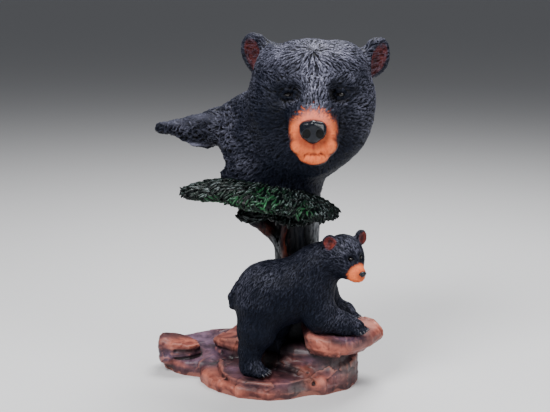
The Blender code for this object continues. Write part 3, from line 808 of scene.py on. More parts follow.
def bust_flow(points):
    """Fur runs back from the nose, and outwards and down from the parting of the forehead."""
    flow = points - np.array((HEAD_MID, -96, 204))
    flow[:, 2] -= 70 * rise(points[:, 1], 5, 45)
    flow /= np.linalg.norm(flow, axis=1, keepdims=True)
    crown = points - np.array((HEAD_MID, -34, 245))
    crown /= np.linalg.norm(crown, axis=1, keepdims=True)
    aside = rise(np.abs(points[:, 0] - HEAD_MID), 1, 12)
    share = rise(points[:, 2], 228 + 4 * aside, 241) * rise(-points[:, 1], -20, 6)
    return flow * (1 - share)[:, None] + crown * share[:, None]


def cub_flow(points):
    """Fur runs from the cub's nose over its head, then back along the body and down its sides."""
    from_nose = points - np.array((66, -50, 97))
    share = np.clip((points[:, 0] - 30) / 14, 0, 1)[:, None]
    down = np.clip((78 - points[:, 2]) / 40, 0, 1)[:, None]
    body = np.array((-0.45, 0, -0.9)) + down * np.array((0.4, 0, -0.4))
    return share * from_nose / 20 + (1 - share) * body


# Smooth places of the bust, painted pale as a highlight along the top and the lower edge of its
# point. Each painted place has a middle, radii and strength
BUST_BARE_HIGHLIGHT = (
    ((-58, 22, 198.5), (20, 30, 2.6), 0.5),
    ((-76, 26, 194), (12, 30, 2.4), 0.4),
    ((-61, 23, 177.0), (11, 7, 1.5), 0.9),
)


def bust_bare(points):
    """1 where the bust is smooth and painted pale as a highlight: along the top and the lower lip
    of its point.
    """
    return np.clip(painted(points, BUST_BARE_HIGHLIGHT), 0, 1)


def bust_relief(points):
    """How deep the fur is cut: shallow on the muzzle and round the eyes, none in the ears."""
    muzzle = egg(points, (HEAD_MID, -62, 196), (19, 27, 23))
    deep = 0.34 + 0.66 * rise(muzzle, 0.95, 1.4)
    for x, _ in mirrored(18):
        deep *= 0.25 + 0.75 * rise(egg(points, (x, -40, 221), (6, 6, 4.5)), 0.8, 1.8)
    deep *= 1 + 0.25 * rise(-points[:, 0], -5, 25)
    return deep * (1 - 0.72 * ear_hollow(points)) * (1 - 0.8 * bust_bare(points))


def ear_hollow(points):
    """1 deep inside the cups of the bust's ears, fading out at their rims."""
    red = np.zeros(len(points))
    for centre, side in EARS:
        red = np.maximum(red, 1 - rise(egg(points, *ear_cup(centre, side)), 0.74, 1.14))
    return red


def painted(points, places, warp=0.0, seed=0):
    """Sum of painted places of (centre, radii, strength), with their edges pushed about by warp."""
    moved = points
    if warp:
        shift = [noise(points, 9, seed=seed + axis) for axis in range(3)]
        moved = points + warp * np.stack(shift, axis=1)
    return sum(strength * spot(moved, centre, radii) for centre, radii, strength in places)


# Where the bust's fur takes more grey: partly dry-brush, partly painted highlight on the crown,
# brow, bridge and contours
BUST_BRUSH_AND_HIGHLIGHT = (
    ((26, -28, 252), (26, 30, 13), 0.58),
    ((26, -42, 238), (17, 20, 9), 0.34),
    ((26, -46, 224), (8, 16, 10), 1.1),
    ((26, -56, 213), (8, 12, 6), 0.95),
    ((2, -16, 246), (13, 26, 11), 0.18),
    ((50, -16, 246), (13, 26, 11), 0.36),
    ((9.4, -44, 216), (9, 10, 3), 0.3),
    ((43, -44, 216), (9, 10, 3), 0.34),
    ((60, -25, 206), (10, 26, 26), 0.22),
    ((70, 0, 206), (7, 40, 30), 0.6),
    ((-22, 0, 226), (6, 30, 14), 0.34),
    ((-38, 6, 192), (17, 40, 15), 0.3),
    ((-74, 20, 189), (14, 30, 8), 0.26),
    ((-61, 22, 177), (13, 8, 1.8), 0.8),
    ((-24, -12, 170), (10, 30, 12), 0.2),
    ((-16, 0, 252), (10, 20, 10), 0.3),
    ((74, 0, 250), (12, 20, 10), 0.34),
)

# Where it takes less grey, as painted shade: round the eyes, on the cheeks, in the fold by the neck
# and under the chin
BUST_PAINTED_SHADE = (
    ((9.4, -44, 222), (12, 12, 5), 0.9),
    ((44.4, -44, 222), (12, 12, 5), 0.9),
    ((-2, -38, 204), (16, 20, 14), 0.7),
    ((-27, -16, 204), (6, 20, 20), 0.9),
    ((22, -46, 172), (30, 26, 12), 0.95),
    ((52, -34, 186), (10, 20, 10), 0.5),
)

# The grey that the bust's fur takes everywhere
BUST_BASE = 0.11

# A dark mark in the mouth, and painted shade along the groove under the nose and along the lip
MOUTH_MARKS_AND_SHADE = (
    ((25.4, -74.4, 185.2), (1.5, 4, 1.2), 0.9),
    ((25.4, -75.6, 190), (0.7, 4, 5), 0.5),
    ((25.4, -72, 184.6), (6, 8, 1.0), 0.22),
)


def bust_tan(points, height):
    """1 on the orange muzzle, with a ragged edge where the fur of the bridge begins."""
    muzzle = egg(points, (HEAD_MID - 0.4, -58, 198.6), (16.6, 26, 18.4))
    for x, _ in mirrored(6):
        muzzle = np.minimum(muzzle, egg(points, (x - 0.4, -58, 190.4), (10.1, 32, 7.8)))
    muzzle = np.minimum(muzzle, egg(points, (HEAD_MID - 0.4, -58, 184), (12.0, 30, 7.2)))
    ragged = 0.3 * (height - 0.4) * rise(points[:, 2], 200, 212)
    muzzle += 0.05 * noise(points, 3, seed=5) + ragged
    return (1 - rise(muzzle, 0.84, 1.06)) * rise(-points[:, 1], 34, 44)


def bust_rosy(points):
    """1 on the paler rose of the muzzle's bridge."""
    bridge = egg(points, (HEAD_MID, -70, 206), (13, 20, 14))
    return rise(points[:, 2], 194, 212) * rise(-bridge, -1.2, -0.4)


def bust_stain(points):
    """1 in the painted shadow round the nose pad, and in the mouth's dark mark and painted shade.
    """
    nose = egg(points, (NOSE_MID, -74, 198.2), (11.2, 9, 9.2))
    return np.clip(0.75 * (1 - rise(nose, 0.85, 1.3)) + painted(points, MOUTH_MARKS_AND_SHADE), 0, 1)


def bust_brush(points, normals):
    """How much grey the bust's fur takes, dry-brush and painted light together: most on faces
    turned up, as painted highlight from above, least round the eyes and the throat, as painted
    shade.
    """
    # Faces turned up take more grey: painted light from above
    up = 0.55 + 0.6 * np.clip(normals[:, 2] + 0.3, 0, 1)
    brush = (BUST_BASE + painted(points, BUST_BRUSH_AND_HIGHLIGHT, warp=2.0, seed=20)) * up
    shaded = 1 - np.clip(painted(points, BUST_PAINTED_SHADE), 0, 0.9)
    brush *= shaded * (0.85 + 0.6 * noise(points, 7, seed=6))
    return np.clip(brush, 0.02, 1.2)


def bust_meshes():
    """The bust in two closed parts, head and neck, carved as one."""
    chance = np.random.default_rng(3)
    mesh = sculpted(model_bust, BUST_VOXEL)
    points, normals = read(mesh, "co"), read(mesh, "normal")
    flow = bust_flow(points)
    neck = rise(-points[:, 0], 18, 34)
    height = strokes(points, normals, flow, BUST_FUR, chance, stray=0.22)
    curls = strokes(points, normals, flow, NECK_CURLS, chance, stray=0.6)
    deep = bust_relief(points)
    cut = (height - STROKE_LEVEL) * BUST_FUR[3] * (1 - neck)
    cut += (curls - CURL_LEVEL) * NECK_CURLS[3] * neck
    height = height * (1 - neck) + (0.8 * curls + 0.2 * height) * neck
    swell = 0.6 * noise(points, 8, seed=4, octaves=2) * np.clip(deep, 0, 1)
    write(mesh, points + normals * (cut * deep + swell)[:, None])
    keep(
        mesh,
        ridge=height,
        brush=bust_brush(points, normals),
        bare=bust_bare(points),
        tan=bust_tan(points, height),
        rosy=bust_rosy(points),
        red=ear_hollow(points),
        stain=bust_stain(points),
        hollow=hollows(mesh, FUR_ROUNDS),
    )
    keep_flow(mesh, tangent(flow, normals))
    return halves(mesh, (0, 0, 190), (-0.18, -0.62, 0.76), ("bear_head", "bear_neck"))


def halves(mesh, place, side, names):
    """Both closed parts of a mesh cut by a plane: first the one that side points to."""
    other = [-part for part in side]
    return halved(mesh, place, side, names[0]), halved(mesh, place, other, names[1])


def halved(mesh, place, side, name):
    """The part of a mesh on one side of a plane, closed across the cut with a sharp rim."""
    worked = bmesh.new()
    worked.from_mesh(mesh)
    everything = worked.verts[:] + worked.edges[:] + worked.faces[:]
    cut = bmesh.ops.bisect_plane(
        worked, geom=everything, dist=1e-4, plane_co=place, plane_no=side, clear_inner=True
    )
    rim = [part for part in cut["geom_cut"] if isinstance(part, bmesh.types.BMEdge)]
    bmesh.ops.triangle_fill(worked, edges=rim, use_beauty=True, normal=[-n for n in side])
    for edge in rim:
        edge.smooth = False
    return mesh_from(worked, name)


# Where the cub's fur takes more grey: partly dry-brush, partly painted highlight on its head,
# chest, back and legs
CUB_BRUSH_AND_HIGHLIGHT = (
    ((51, -32, 110), (13, 14, 9), 0.36),
    ((56, -38, 101), (6, 8, 6), 0.12),
    ((60, -32, 60), (9, 14, 6), 0.22),
    ((44, -32, 66), (8, 12, 14), 0.16),
    ((-16, -20, 88), (14, 20, 7), 0.18),
    ((-26, -22, 76), (6, 16, 12), 0.15),
    ((56, -4, 60), (8, 12, 5), 0.18),
    ((-12, -36, 22), (6, 8, 5), 0.1),
)

# Where it takes less grey, as painted shade: low under its body and round its eyes
CUB_PAINTED_SHADE = (
    ((0, -32, 52), (24, 20, 16), 0.05),
    ((54, -43, 105.5), (4, 6, 3.4), 0.3),
    ((62, -37, 105.5), (4, 6, 3.4), 0.3),
)


def cub_ears(points):
    """1 on the fronts of the cub's ears."""
    red = np.zeros(len(points))
    for (centre, radii, turn), out in zip(CUB_EARS, CUB_EAR_FRONTS):
        away = egg(points, np.array(centre) + out, [r * 0.86 for r in radii], turn)
        red = np.maximum(red, 1 - rise(away, 0.66, 1.2))
    return red


def cub_meshes():
    """The cub in two closed parts, front and back, carved as one."""
    chance = np.random.default_rng(5)
    mesh = sculpted(model_cub, CUB_VOXEL)
    points, normals = read(mesh, "co"), read(mesh, "normal")
    flow = cub_flow(points)
    height = strokes(points, normals, flow, CUB_FUR, chance, stray=0.35)
    red = cub_ears(points)
    face = egg(points, (56, -38, 98), (9, 9, 10))
    deep = (0.25 + 0.75 * rise(face, 0.8, 1.5)) * (1 - 0.9 * red)
    swell = 0.4 * noise(points, 6, seed=8, octaves=2) * deep
    cut = (height - STROKE_LEVEL) * CUB_FUR[3] * deep
    write(mesh, points + normals * (cut + swell)[:, None])
    plain = np.zeros(len(points))
    keep(
        mesh,
        ridge=height,
        brush=cub_brush(points, normals),
        bare=plain,
        tan=cub_tan(points, height),
        rosy=plain,
        red=red,
        stain=cub_stain(points),
        hollow=hollows(mesh, FUR_ROUNDS),
    )
    keep_flow(mesh, tangent(flow, normals))
    return halves(mesh, (14, 0, 0), (1, 0, 0), ("cub_front", "cub_back"))


def cub_tan(points, height):
    """1 on the cub's orange muzzle."""
    muzzle = egg(points, (58.4, -39.8, 94.4), (7.8, 8.6, 7.6))
    muzzle += 0.06 * noise(points, 2.5, seed=7) + 0.2 * (height - 0.4)
    return 1 - rise(muzzle, 0.85, 1.12)


def cub_brush(points, normals):
    """How much grey the cub's fur takes, dry-brush and painted light together: more on faces turned
    up, as painted highlight from above, less where painted shade is laid.
    """
    # Faces turned up take more grey: painted light from above
    brush = 0.03 + 0.09 * np.clip(normals[:, 2], 0, 1) + painted(points, CUB_BRUSH_AND_HIGHLIGHT)
    brush -= painted(points, CUB_PAINTED_SHADE)
    brush *= 0.9 + 0.7 * noise(points, 5, seed=9)
    return np.clip(brush, 0.015, 1)


def cub_stain(points):
    """1 in the painted shade round the cub's nose pad and deep in its ears."""
    nose = egg(points, (61, -44.4, 94.4), (4.2, 4, 3.4))
    stain = 0.6 * (1 - rise(nose, 0.7, 1.3))
    for (centre, _, _), out in zip(CUB_EARS, CUB_EAR_FRONTS):
        stain += spot(points, np.array(centre) + 0.3 * np.array(out), (2.5, 3.0, 2.8))
    return np.clip(stain, 0, 1)


# A claw's rings: share of its length, radius, and share of its drop
CLAW_STATIONS = ((0.0, 0.62, 0.0), (0.4, 0.55, -0.15), (0.75, 0.36, -0.5), (1.0, 0.1, -0.95))
CLAW_ANGLES = [math.radians(60 * step) for step in range(6)]
CLAW_LENGTH = 2.7
CLAW_DROP = 1.5
CLAW_FAN = 0.16


def add_claw(worked, root, out):
    """One closed claw from its root, curving down as it runs outwards."""
    side = Vector((-out.y, out.x, 0))
    rings = []
    for along, wide, drop in CLAW_STATIONS:
        centre = root + out * (along * CLAW_LENGTH) + Vector((0, 0, drop * CLAW_DROP))
        ring = []
        for angle in CLAW_ANGLES:
            corner = side * (math.cos(angle) * wide) + Vector((0, 0, math.sin(angle) * wide))
            ring.append(worked.verts.new(centre + corner))
        rings.append(ring)
    for first, last in zip(rings, rings[1:]):
        for k in range(len(first)):
            after = (k + 1) % len(first)
            worked.faces.new((first[k], first[after], last[after], last[k]))
    worked.faces.new(rings[0][::-1])
    worked.faces.new(rings[-1])


def claws_mesh():
    """Curved claws at the tips of the toes, each closed."""
    worked = bmesh.new()
    for middle, ahead, radius in PAWS:
        for tip, row in toe_tips(middle, ahead, radius):
            fan = CLAW_FAN * row
            out = Vector((ahead[0] - fan * ahead[1], ahead[1] + fan * ahead[0], 0)).normalized()
            root = Vector(tip) + out * (radius * 0.72) + Vector((0, 0, radius * 0.25))
            add_claw(worked, root, out)
    bmesh.ops.recalc_face_normals(worked, faces=worked.faces)
    return mesh_from(worked, "cub_claws")


# Brown-red and grey strips of the bark
BARK_RED = (
    ((7.4, 0, 98), (2.6, 10, 22), 1.1),
    ((-6, 6, 115), (6, 12, 5), 0.8),
    ((-4, 34, 110), (8, 10, 40), 0.5),
)

BARK_GREY = (
    ((31, -1, 108), (4.4, 9, 34), 1.7),
    ((-1.6, 4.6, 109), (2.0, 4, 3.4), 1.3),
    ((2.0, 3.2, 103), (1.8, 4, 4.6), 1.3),
    ((5.4, 1.0, 96), (1.6, 4, 4.4), 1.3),
    ((1.2, 4, 98), (1.6, 10, 14), 0.8),
    ((20, 34, 70), (12, 12, 60), 0.25),
)


def trunk_mesh():
    """The trunk and its branch, with bark cut along them."""
    chance = np.random.default_rng(6)
    mesh = sculpted(model_trunk, TRUNK_VOXEL)
    points, normals = read(mesh, "co"), read(mesh, "normal")
    flow = np.tile((0.06, 0, 1.0), (len(points), 1))
    height = strokes(points, normals, flow, BARK, chance, stray=0.1)
    rough = noise(points * (1, 1, 0.35), 2.4, seed=10)
    relief = (height - STROKE_LEVEL) * BARK[3] + 0.35 * rough
    write(mesh, points + normals * relief[:, None])
    keep(
        mesh,
        ridge=height,
        red=np.clip(painted(points, BARK_RED, warp=1.0, seed=30), 0, 1),
        grey=np.clip(painted(points, BARK_GREY, warp=1.0, seed=31), 0, 1),
        hollow=hollows(mesh, PLAIN_ROUNDS),
    )
    return halved(mesh, (0, 0, 3), (0, 0, 1), "tree_trunk")


def chips(points, size, seed):
    """Height of flat facets about this size, each tilted its own way."""
    chance = np.random.default_rng(seed)
    low, high = points.min(axis=0) - size, points.max(axis=0) + size
    count = int(np.prod((high - low) / size))
    middles = chance.uniform(low, high, (count, 3))
    tilts = chance.normal(0, 0.16, (count, 3))
    offsets = chance.uniform(-0.05, 0.05, count) * size
    near = nearest(points, middles, CHIPS_NEAR).T
    faces = [offsets[n] + np.einsum("ij,ij->i", points - middles[n], tilts[n]) for n in near]
    return np.maximum.reduce(faces) - 0.12 * size


def layers(points):
    """A few uneven shallow steps across the rocks' sides, from 0 to 1."""
    warp = 5.0 * noise(points * (1, 1, 0.3), 34, seed=11, octaves=2)
    level = (points[:, 2] + warp) / 7.5
    share = level - np.floor(level)
    return share**2 * (1 - rise(share, 0.8, 1.0))


# Where each tint of the stone is laid
ROCK_ORANGE = (
    ((-77, 11, 25), (11, 10, 4), 0.8),
    ((-66, 15, 23.5), (9, 9, 3.5), 1.1),
    ((-37, 20, 26), (12, 14, 5), 0.6),
    ((-31, 6, 22.5), (5, 8, 2.6), 0.4),
    ((-52, -14, 6), (9, 11, 6), 0.8),
    ((-42, -30, 6), (10, 10, 4.5), 1.1),
    ((-28, -40, 5), (9, 7, 3.5), 0.9),
    ((-75, 9, 8), (13, 8, 1.8), 0.5),
    ((31, -38, 39), (10, 8, 6), 0.9),
    ((46, -38, 33.5), (14, 8, 4.5), 0.75),
    ((30, -36, 44), (9, 6, 2), 0.6),
    ((79, -8, 42), (8, 20, 6), 0.9),
    ((21, -29, 17.5), (6, 6, 2.6), 0.9),
    ((30, -33, 11), (8, 6, 4.5), 1.1),
    ((11, -22, 24), (8, 6, 2.0), 0.6),
    ((-3, -38, 13), (8, 6, 3), 0.3),
    ((-8, -46, 5), (9, 6, 4), 0.45),
    ((-30, 50, 26), (26, 14, 5), 0.5),
    ((50, 20, 44), (26, 10, 6), 0.6),
)

ROCK_PALE = (
    ((70, 0, 46), (17, 22, 5), 0.9),
    ((64, -24, 44), (10, 8, 4), 0.5),
    ((66, -26, 35), (9, 8, 5), 0.4),
    ((-34, 36, 26), (12, 18, 5), 0.35),
    ((52, -25, 12), (9, 8, 5), 0.35),
)

ROCK_VIOLET = (
    ((-57, 30, 18), (15, 18, 5), 0.9),
    ((-44, 14, 16.5), (9, 12, 4), 0.9),
    ((-84, 11, 16), (9, 9, 5), 0.8),
    ((-87, 15, 26), (5, 8, 5), 0.5),
    ((-31, -22, 15.5), (11, 13, 3), 1.0),
    ((-62, -2, 13), (13, 8, 4), 0.5),
    ((39, -32, 45.5), (9, 5, 3), 0.6),
    ((51, -36.5, 44.6), (13, 5, 2.8), 1.2),
    ((63, -32, 42.5), (8, 6, 3), 0.9),
    ((26, -27, 24), (8, 6, 5), 0.7),
    ((-18, -39, 12), (6, 4, 3), 0.5),
    ((-60, 48, 18), (24, 14, 8), 0.7),
    ((-70, 6, 11), (18, 8, 6), 0.7),
    ((-48, 2, 10), (12, 8, 6), 0.5),
    ((12, -18, 28), (12, 8, 6), 0.5),
    ((4, -40, 12), (12, 8, 4), 0.5),
    ((42, -28, 16), (12, 9, 6), 0.4),
)

ROCK_GREY = (
    ((56.6, -20.7, 14.6), (9, 9, 5), 1.0),
    ((11, -18, 30), (10, 8, 5), 0.35),
    ((18, -40, 5), (9, 6, 4.5), 0.8),
    ((44, -27, 20), (12, 8, 3.6), 0.6),
    ((20, -38, 11), (10, 4, 3), 0.4),
    ((30, 40, 20), (40, 20, 30), 0.5),
)

# Painted shade, near black: in the gaps and cracks, under the boulder and the ledge, and under the
# cub and between its legs
ROCK_PAINTED_SHADE = (
    ((-69, 6, 19.6), (9, 4, 1.6), 1.1),
    ((-58, 13, 18), (5, 5, 2.2), 1.0),
    ((-37, 3, 14.8), (6, 5, 2.5), 1.1),
    ((-47, 0, 11.6), (8, 5, 1.8), 0.9),
    ((-48, 28, 17.6), (4, 8, 2.6), 0.8),
    ((-38, 11, 20.6), (8, 7, 2.2), 0.9),
    ((-60, 0, 8), (16, 8, 4), 0.3),
    ((-18, -36, 13), (8, 5, 3), 0.9),
    ((0, -15, 18.6), (10, 9, 3.5), 1.0),
    ((13, -27, 17.6), (9, 6, 2.6), 1.0),
    ((26, -34, 11.5), (5, 4, 3), 0.7),
    ((-2, -6, 27), (18, 14, 10), 1.1),
    ((13, -15, 29), (12, 9, 7), 0.85),
    ((-6, -20, 16), (9, 8, 4), 0.6),
    ((8, -32, 15), (16, 6, 3), 0.6),
    ((20, -28, 38), (4, 7, 7), 0.9),
    ((28, -28, 27.5), (8, 6, 3.5), 0.8),
    ((47, -31, 26), (17, 8, 2.6), 1.1),
    ((60, -18, 26), (10, 10, 3), 0.9),
    ((63, -12, 9), (2, 5, 3), 0.7),
    ((38, -40, 45), (6, 6, 2.0), 0.9),
    ((46, -41, 42.2), (6, 6, 2.0), 0.9),
    ((2, -28, 14.5), (18, 9, 3), 0.35),
    ((22, -26, 18), (8, 6, 4), 0.4),
    ((54, -30, 21), (10, 8, 3.4), 0.7),
    ((14, -38, 8), (7, 6, 4), 0.5),
    ((-30, 4, 17), (8, 6, 4), 0.6),
)

ROCK_TINTS_AND_SHADE = (
    ("orange", ROCK_ORANGE),
    ("pale", ROCK_PALE),
    ("violet", ROCK_VIOLET),
    ("grey", ROCK_GREY),
    ("dark", ROCK_PAINTED_SHADE),
)


def rock_mesh():
    """The stacked stones, chipped, stepped and worn, with a flat underside."""
    mesh = sculpted(model_rocks, ROCK_VOXEL)
    points, normals = read(mesh, "co"), read(mesh, "normal")
    side = 1 - np.clip(normals[:, 2], 0, 1)
    relief = side * (0.7 * layers(points) - 0.25) + 0.17 * chips(points, 20.0, 12)
    relief += 0.5 * noise(points * (1, 1, 1.6), 15, seed=13)
    grey = painted(points, ROCK_GREY, warp=2, seed=60)
    rough = 0.03 + 0.5 * np.clip(grey - 0.25, 0, 1)
    relief += rough * noise(points, 2.6, seed=14)
    write(mesh, points + normals * relief[:, None])
    mesh = halved(mesh, (0, 0, 0), (0, 0, 1), "rock_base")
    points = read(mesh, "co")
    for name, places in ROCK_TINTS_AND_SHADE:
        keep(mesh, **{name: np.clip(painted(points, places, warp=2.5, seed=40), 0, 1)})
    keep(mesh, hollow=hollows(mesh, PLAIN_ROUNDS))
    return mesh


# A leaf's rings of four corners: how far along it and how wide
LEAF_STATIONS = ((0.18, 0.8), (0.5, 1.0), (0.82, 0.62))


def leaf_template():
    """Corners and faces of one plump leaf: along it, across it and up, each within 1."""
    corners = [(0, 0, 0)]
    for along, wide in LEAF_STATIONS:
        corners += [(along, -wide, 0), (along, 0, 0.5 + 0.5 * wide)]
        corners += [(along, wide, 0), (along, 0, -0.5)]
    corners.append((1, 0, 0))
    tip = len(corners) - 1
    faces = []
    for k in range(4):
        after = (k + 1) % 4
        faces.append((0, 1 + k, 1 + after))
        for ring in (0, 4):
            faces.append((1 + k + ring, 5 + k + ring, 5 + after + ring, 1 + after + ring))
        faces.append((9 + k, tip, 9 + after))
    return np.array(corners, float), faces


def bough_flow(points):
    """Needles point outwards from the trunk."""
    return (points - np.array((14, 14, 150))) * np.array((1, 1, 0.4))


# Where the leaves are brushed with green
BOUGH_GREEN = (
    ((-24, -28, 144), (11, 12, 4), 0.9),
    ((-5, -38, 143), (8, 12, 5), 0.95),
    ((-44, -20, 145), (8, 12, 3), 0.5),
    ((20, -34, 138), (7, 10, 4), 0.5),
    ((-6, -28, 152), (10, 10, 3), 0.4),
    ((30, 30, 143), (20, 20, 10), 0.5),
)


def leaves_mesh(body):
    """Pointed leaves over the bough, each closed, laid like shingles with their tips raised."""
    chance = np.random.default_rng(8)
    points, normals = read(body, "co"), read(body, "normal")
    taken = scattered(points, LEAF_SPACING, chance)
    place, up = points[taken], normals[taken]
    ahead = tangent(bough_flow(place), up)
    yaw = chance.normal(0, 0.36, len(taken))[:, None]
    ahead, side = swung(ahead, np.cross(up, ahead), yaw)
    pitch = chance.uniform(0.1, 0.55, len(taken))[:, None]
    ahead, up = swung(ahead, up, pitch)
    size = chance.uniform(0.75, 1.15, len(taken))[:, None]
    corners, faces = leaf_template()
    along, across, high = (corners[:, axis][None, :, None] for axis in range(3))
    long, wide = LEAF_LENGTH * size[:, None], LEAF_WIDTH / 2 * size[:, None]
    sag = -0.18 * LEAF_LENGTH * along**2
    curve = chance.normal(0, 0.7, len(taken))[:, None, None] * along**2
    spread = place[:, None] - 0.3 * up[:, None] + ahead[:, None] * (along - 0.4) * long
    spread = spread + side[:, None] * (across * wide + curve)
    spread = spread + up[:, None] * (high * LEAF_THICKNESS + sag)
    count = len(corners)
    mesh = bpy.data.meshes.new("pine_leaves")
    faces = [tuple(k + count * n for k in face) for n in range(len(taken)) for face in faces]
    mesh.from_pydata(spread.reshape(-1, 3).tolist(), [], faces)
    green = np.clip(painted(place, BOUGH_GREEN, warp=2, seed=50), 0, 1)
    keep(
        mesh,
        shade=np.repeat(chance.uniform(0, 1, len(taken)), count),
        rib=np.tile(np.clip(corners[:, 2], 0, 1), len(taken)),
        green=np.repeat(green, count),
    )
    return mesh


def bough_mesh():
    """The sprays that the leaves are laid on, in the leaves' darkest paint."""
    mesh = sculpted(model_bough, BOUGH_VOXEL)
    mesh.name = "bough_core"
    dark = np.zeros(len(mesh.vertices))
    keep(mesh, shade=dark, rib=dark, green=dark)
    return mesh


def eye_mesh(centre, radius, name):
    """A slightly flattened ball."""
    worked = bmesh.new()
    bmesh.ops.create_uvsphere(worked, u_segments=32, v_segments=20, radius=radius)
    bmesh.ops.scale(worked, verts=worked.verts, vec=(1, 0.8, 0.9))
    bmesh.ops.translate(worked, verts=worked.verts, vec=centre)
    return mesh_from(worked, name)


def placed(mesh, material):
    """Makes a finished mesh a piece of the figurine, in metres and in the frame."""
    write(mesh, (read(mesh, "co") + CLAY_ORIGIN) * UNIT)
    mesh.materials.clear()
    mesh.materials.append(material)
    mesh.polygons.foreach_set("use_smooth", [True] * len(mesh.polygons))
    piece = bpy.data.objects.new(mesh.name, mesh)
    bpy.context.collection.objects.link(piece)
    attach(piece, BODY)
    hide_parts(NODE)


def srgb(red, green, blue):
    """A colour of the screen, each part 0 to 255, as the linear colour that nodes work in."""
    parts = [value / 255 for value in (red, green, blue)]
    return [p / 12.92 if p <= 0.04045 else ((p + 0.055) / 1.055) ** 2.4 for p in parts] + [1]


class Nodes:
    """Nodes put into one tree, with short ways to make and link them."""

    def __init__(self, tree):
        self.tree = tree

    def node(self, kind, **settings):
        """A new shader node with these settings."""
        made = self.tree.nodes.new("ShaderNode" + kind)
        for key, value in settings.items():
            setattr(made, key, value)
        return made

    def feed(self, socket, value):
        """Links an output to a socket, or sets the socket to a plain value."""
        if isinstance(value, bpy.types.NodeSocket):
            self.tree.links.new(value, socket)
        else:
            socket.default_value = value

    def value(self, name):
        """A number stored on the mesh."""
        return self.node("Attribute", attribute_name=name).outputs["Fac"]

    def place(self):
        """The point's place in the object."""
        return self.node("TexCoord").outputs["Object"]

    def math(self, operation, *values):
        """A sum, product or other operation on up to three values."""
        made = self.node("Math", operation=operation)
        for socket, value in zip(made.inputs, values):
            self.feed(socket, value)
        return made.outputs[0]

    def times(self, first, second):
        """The product of two values."""
        return self.math("MULTIPLY", first, second)

    def vectors(self, operation, first, second):
        """The node of an operation on two vectors."""
        made = self.node("VectorMath", operation=operation)
        self.feed(made.inputs[0], first)
        self.feed(made.inputs[1], second)
        return made

    def band(self, value, low, high, start=0.0, end=1.0):
        """start where value is below low, end above high and smooth between."""
        made = self.node("MapRange", interpolation_type="SMOOTHSTEP")
        names = ("Value", "From Min", "From Max", "To Min", "To Max")
        for name, given in zip(names, (value, low, high, start, end)):
            self.feed(made.inputs[name], given)
        return made.outputs["Result"]

    def mix(self, share, first, second):
        """The first colour where share is 0 and the second where it is 1."""
        made = self.node("Mix", data_type="RGBA")
        for index, value in ((0, share), (6, first), (7, second)):
            self.feed(made.inputs[index], value)
        return made.outputs[2]

    def over(self, base, share, strength, colour):
        """A colour laid over a base by a share times a strength."""
        return self.mix(self.times(share, strength), base, colour)


def effect(name, inputs, output, build):
    """A shader node group that several paints use, made once: numbers go in, one mask comes out."""
    group = bpy.data.node_groups.get(name)
    if group:
        return group
    group = bpy.data.node_groups.new(name, "ShaderNodeTree")
    for title, value in inputs.items():
        kind = "NodeSocketVector" if isinstance(value, tuple) else "NodeSocketFloat"
        group.interface.new_socket(title, in_out="INPUT", socket_type=kind).default_value = value
    group.interface.new_socket(output, in_out="OUTPUT", socket_type="NodeSocketFloat")
    given = group.nodes.new("NodeGroupInput").outputs
    result = group.nodes.new("NodeGroupOutput").inputs[output]
    nodes = Nodes(group)
    nodes.feed(result, build(nodes, given))
    return group


def grain_nodes(nodes, given):
    """Noise over the object, from 0 to 1."""
    turn = nodes.node("Mapping")
    nodes.feed(turn.inputs["Vector"], nodes.place())
    nodes.feed(turn.inputs["Scale"], given["Stretch"])
    made = nodes.node("TexNoise")
    nodes.feed(made.inputs["Vector"], turn.outputs[0])
    for name in ("Scale", "Detail", "Roughness"):
        nodes.feed(made.inputs[name], given[name])
    return made.outputs["Fac"]


def cut_shade_nodes(nodes, given):
    """Painted shade that settles in cuts, between two depths in units."""
    return nodes.band(nodes.value("hollow"), given["Low"], given["High"])


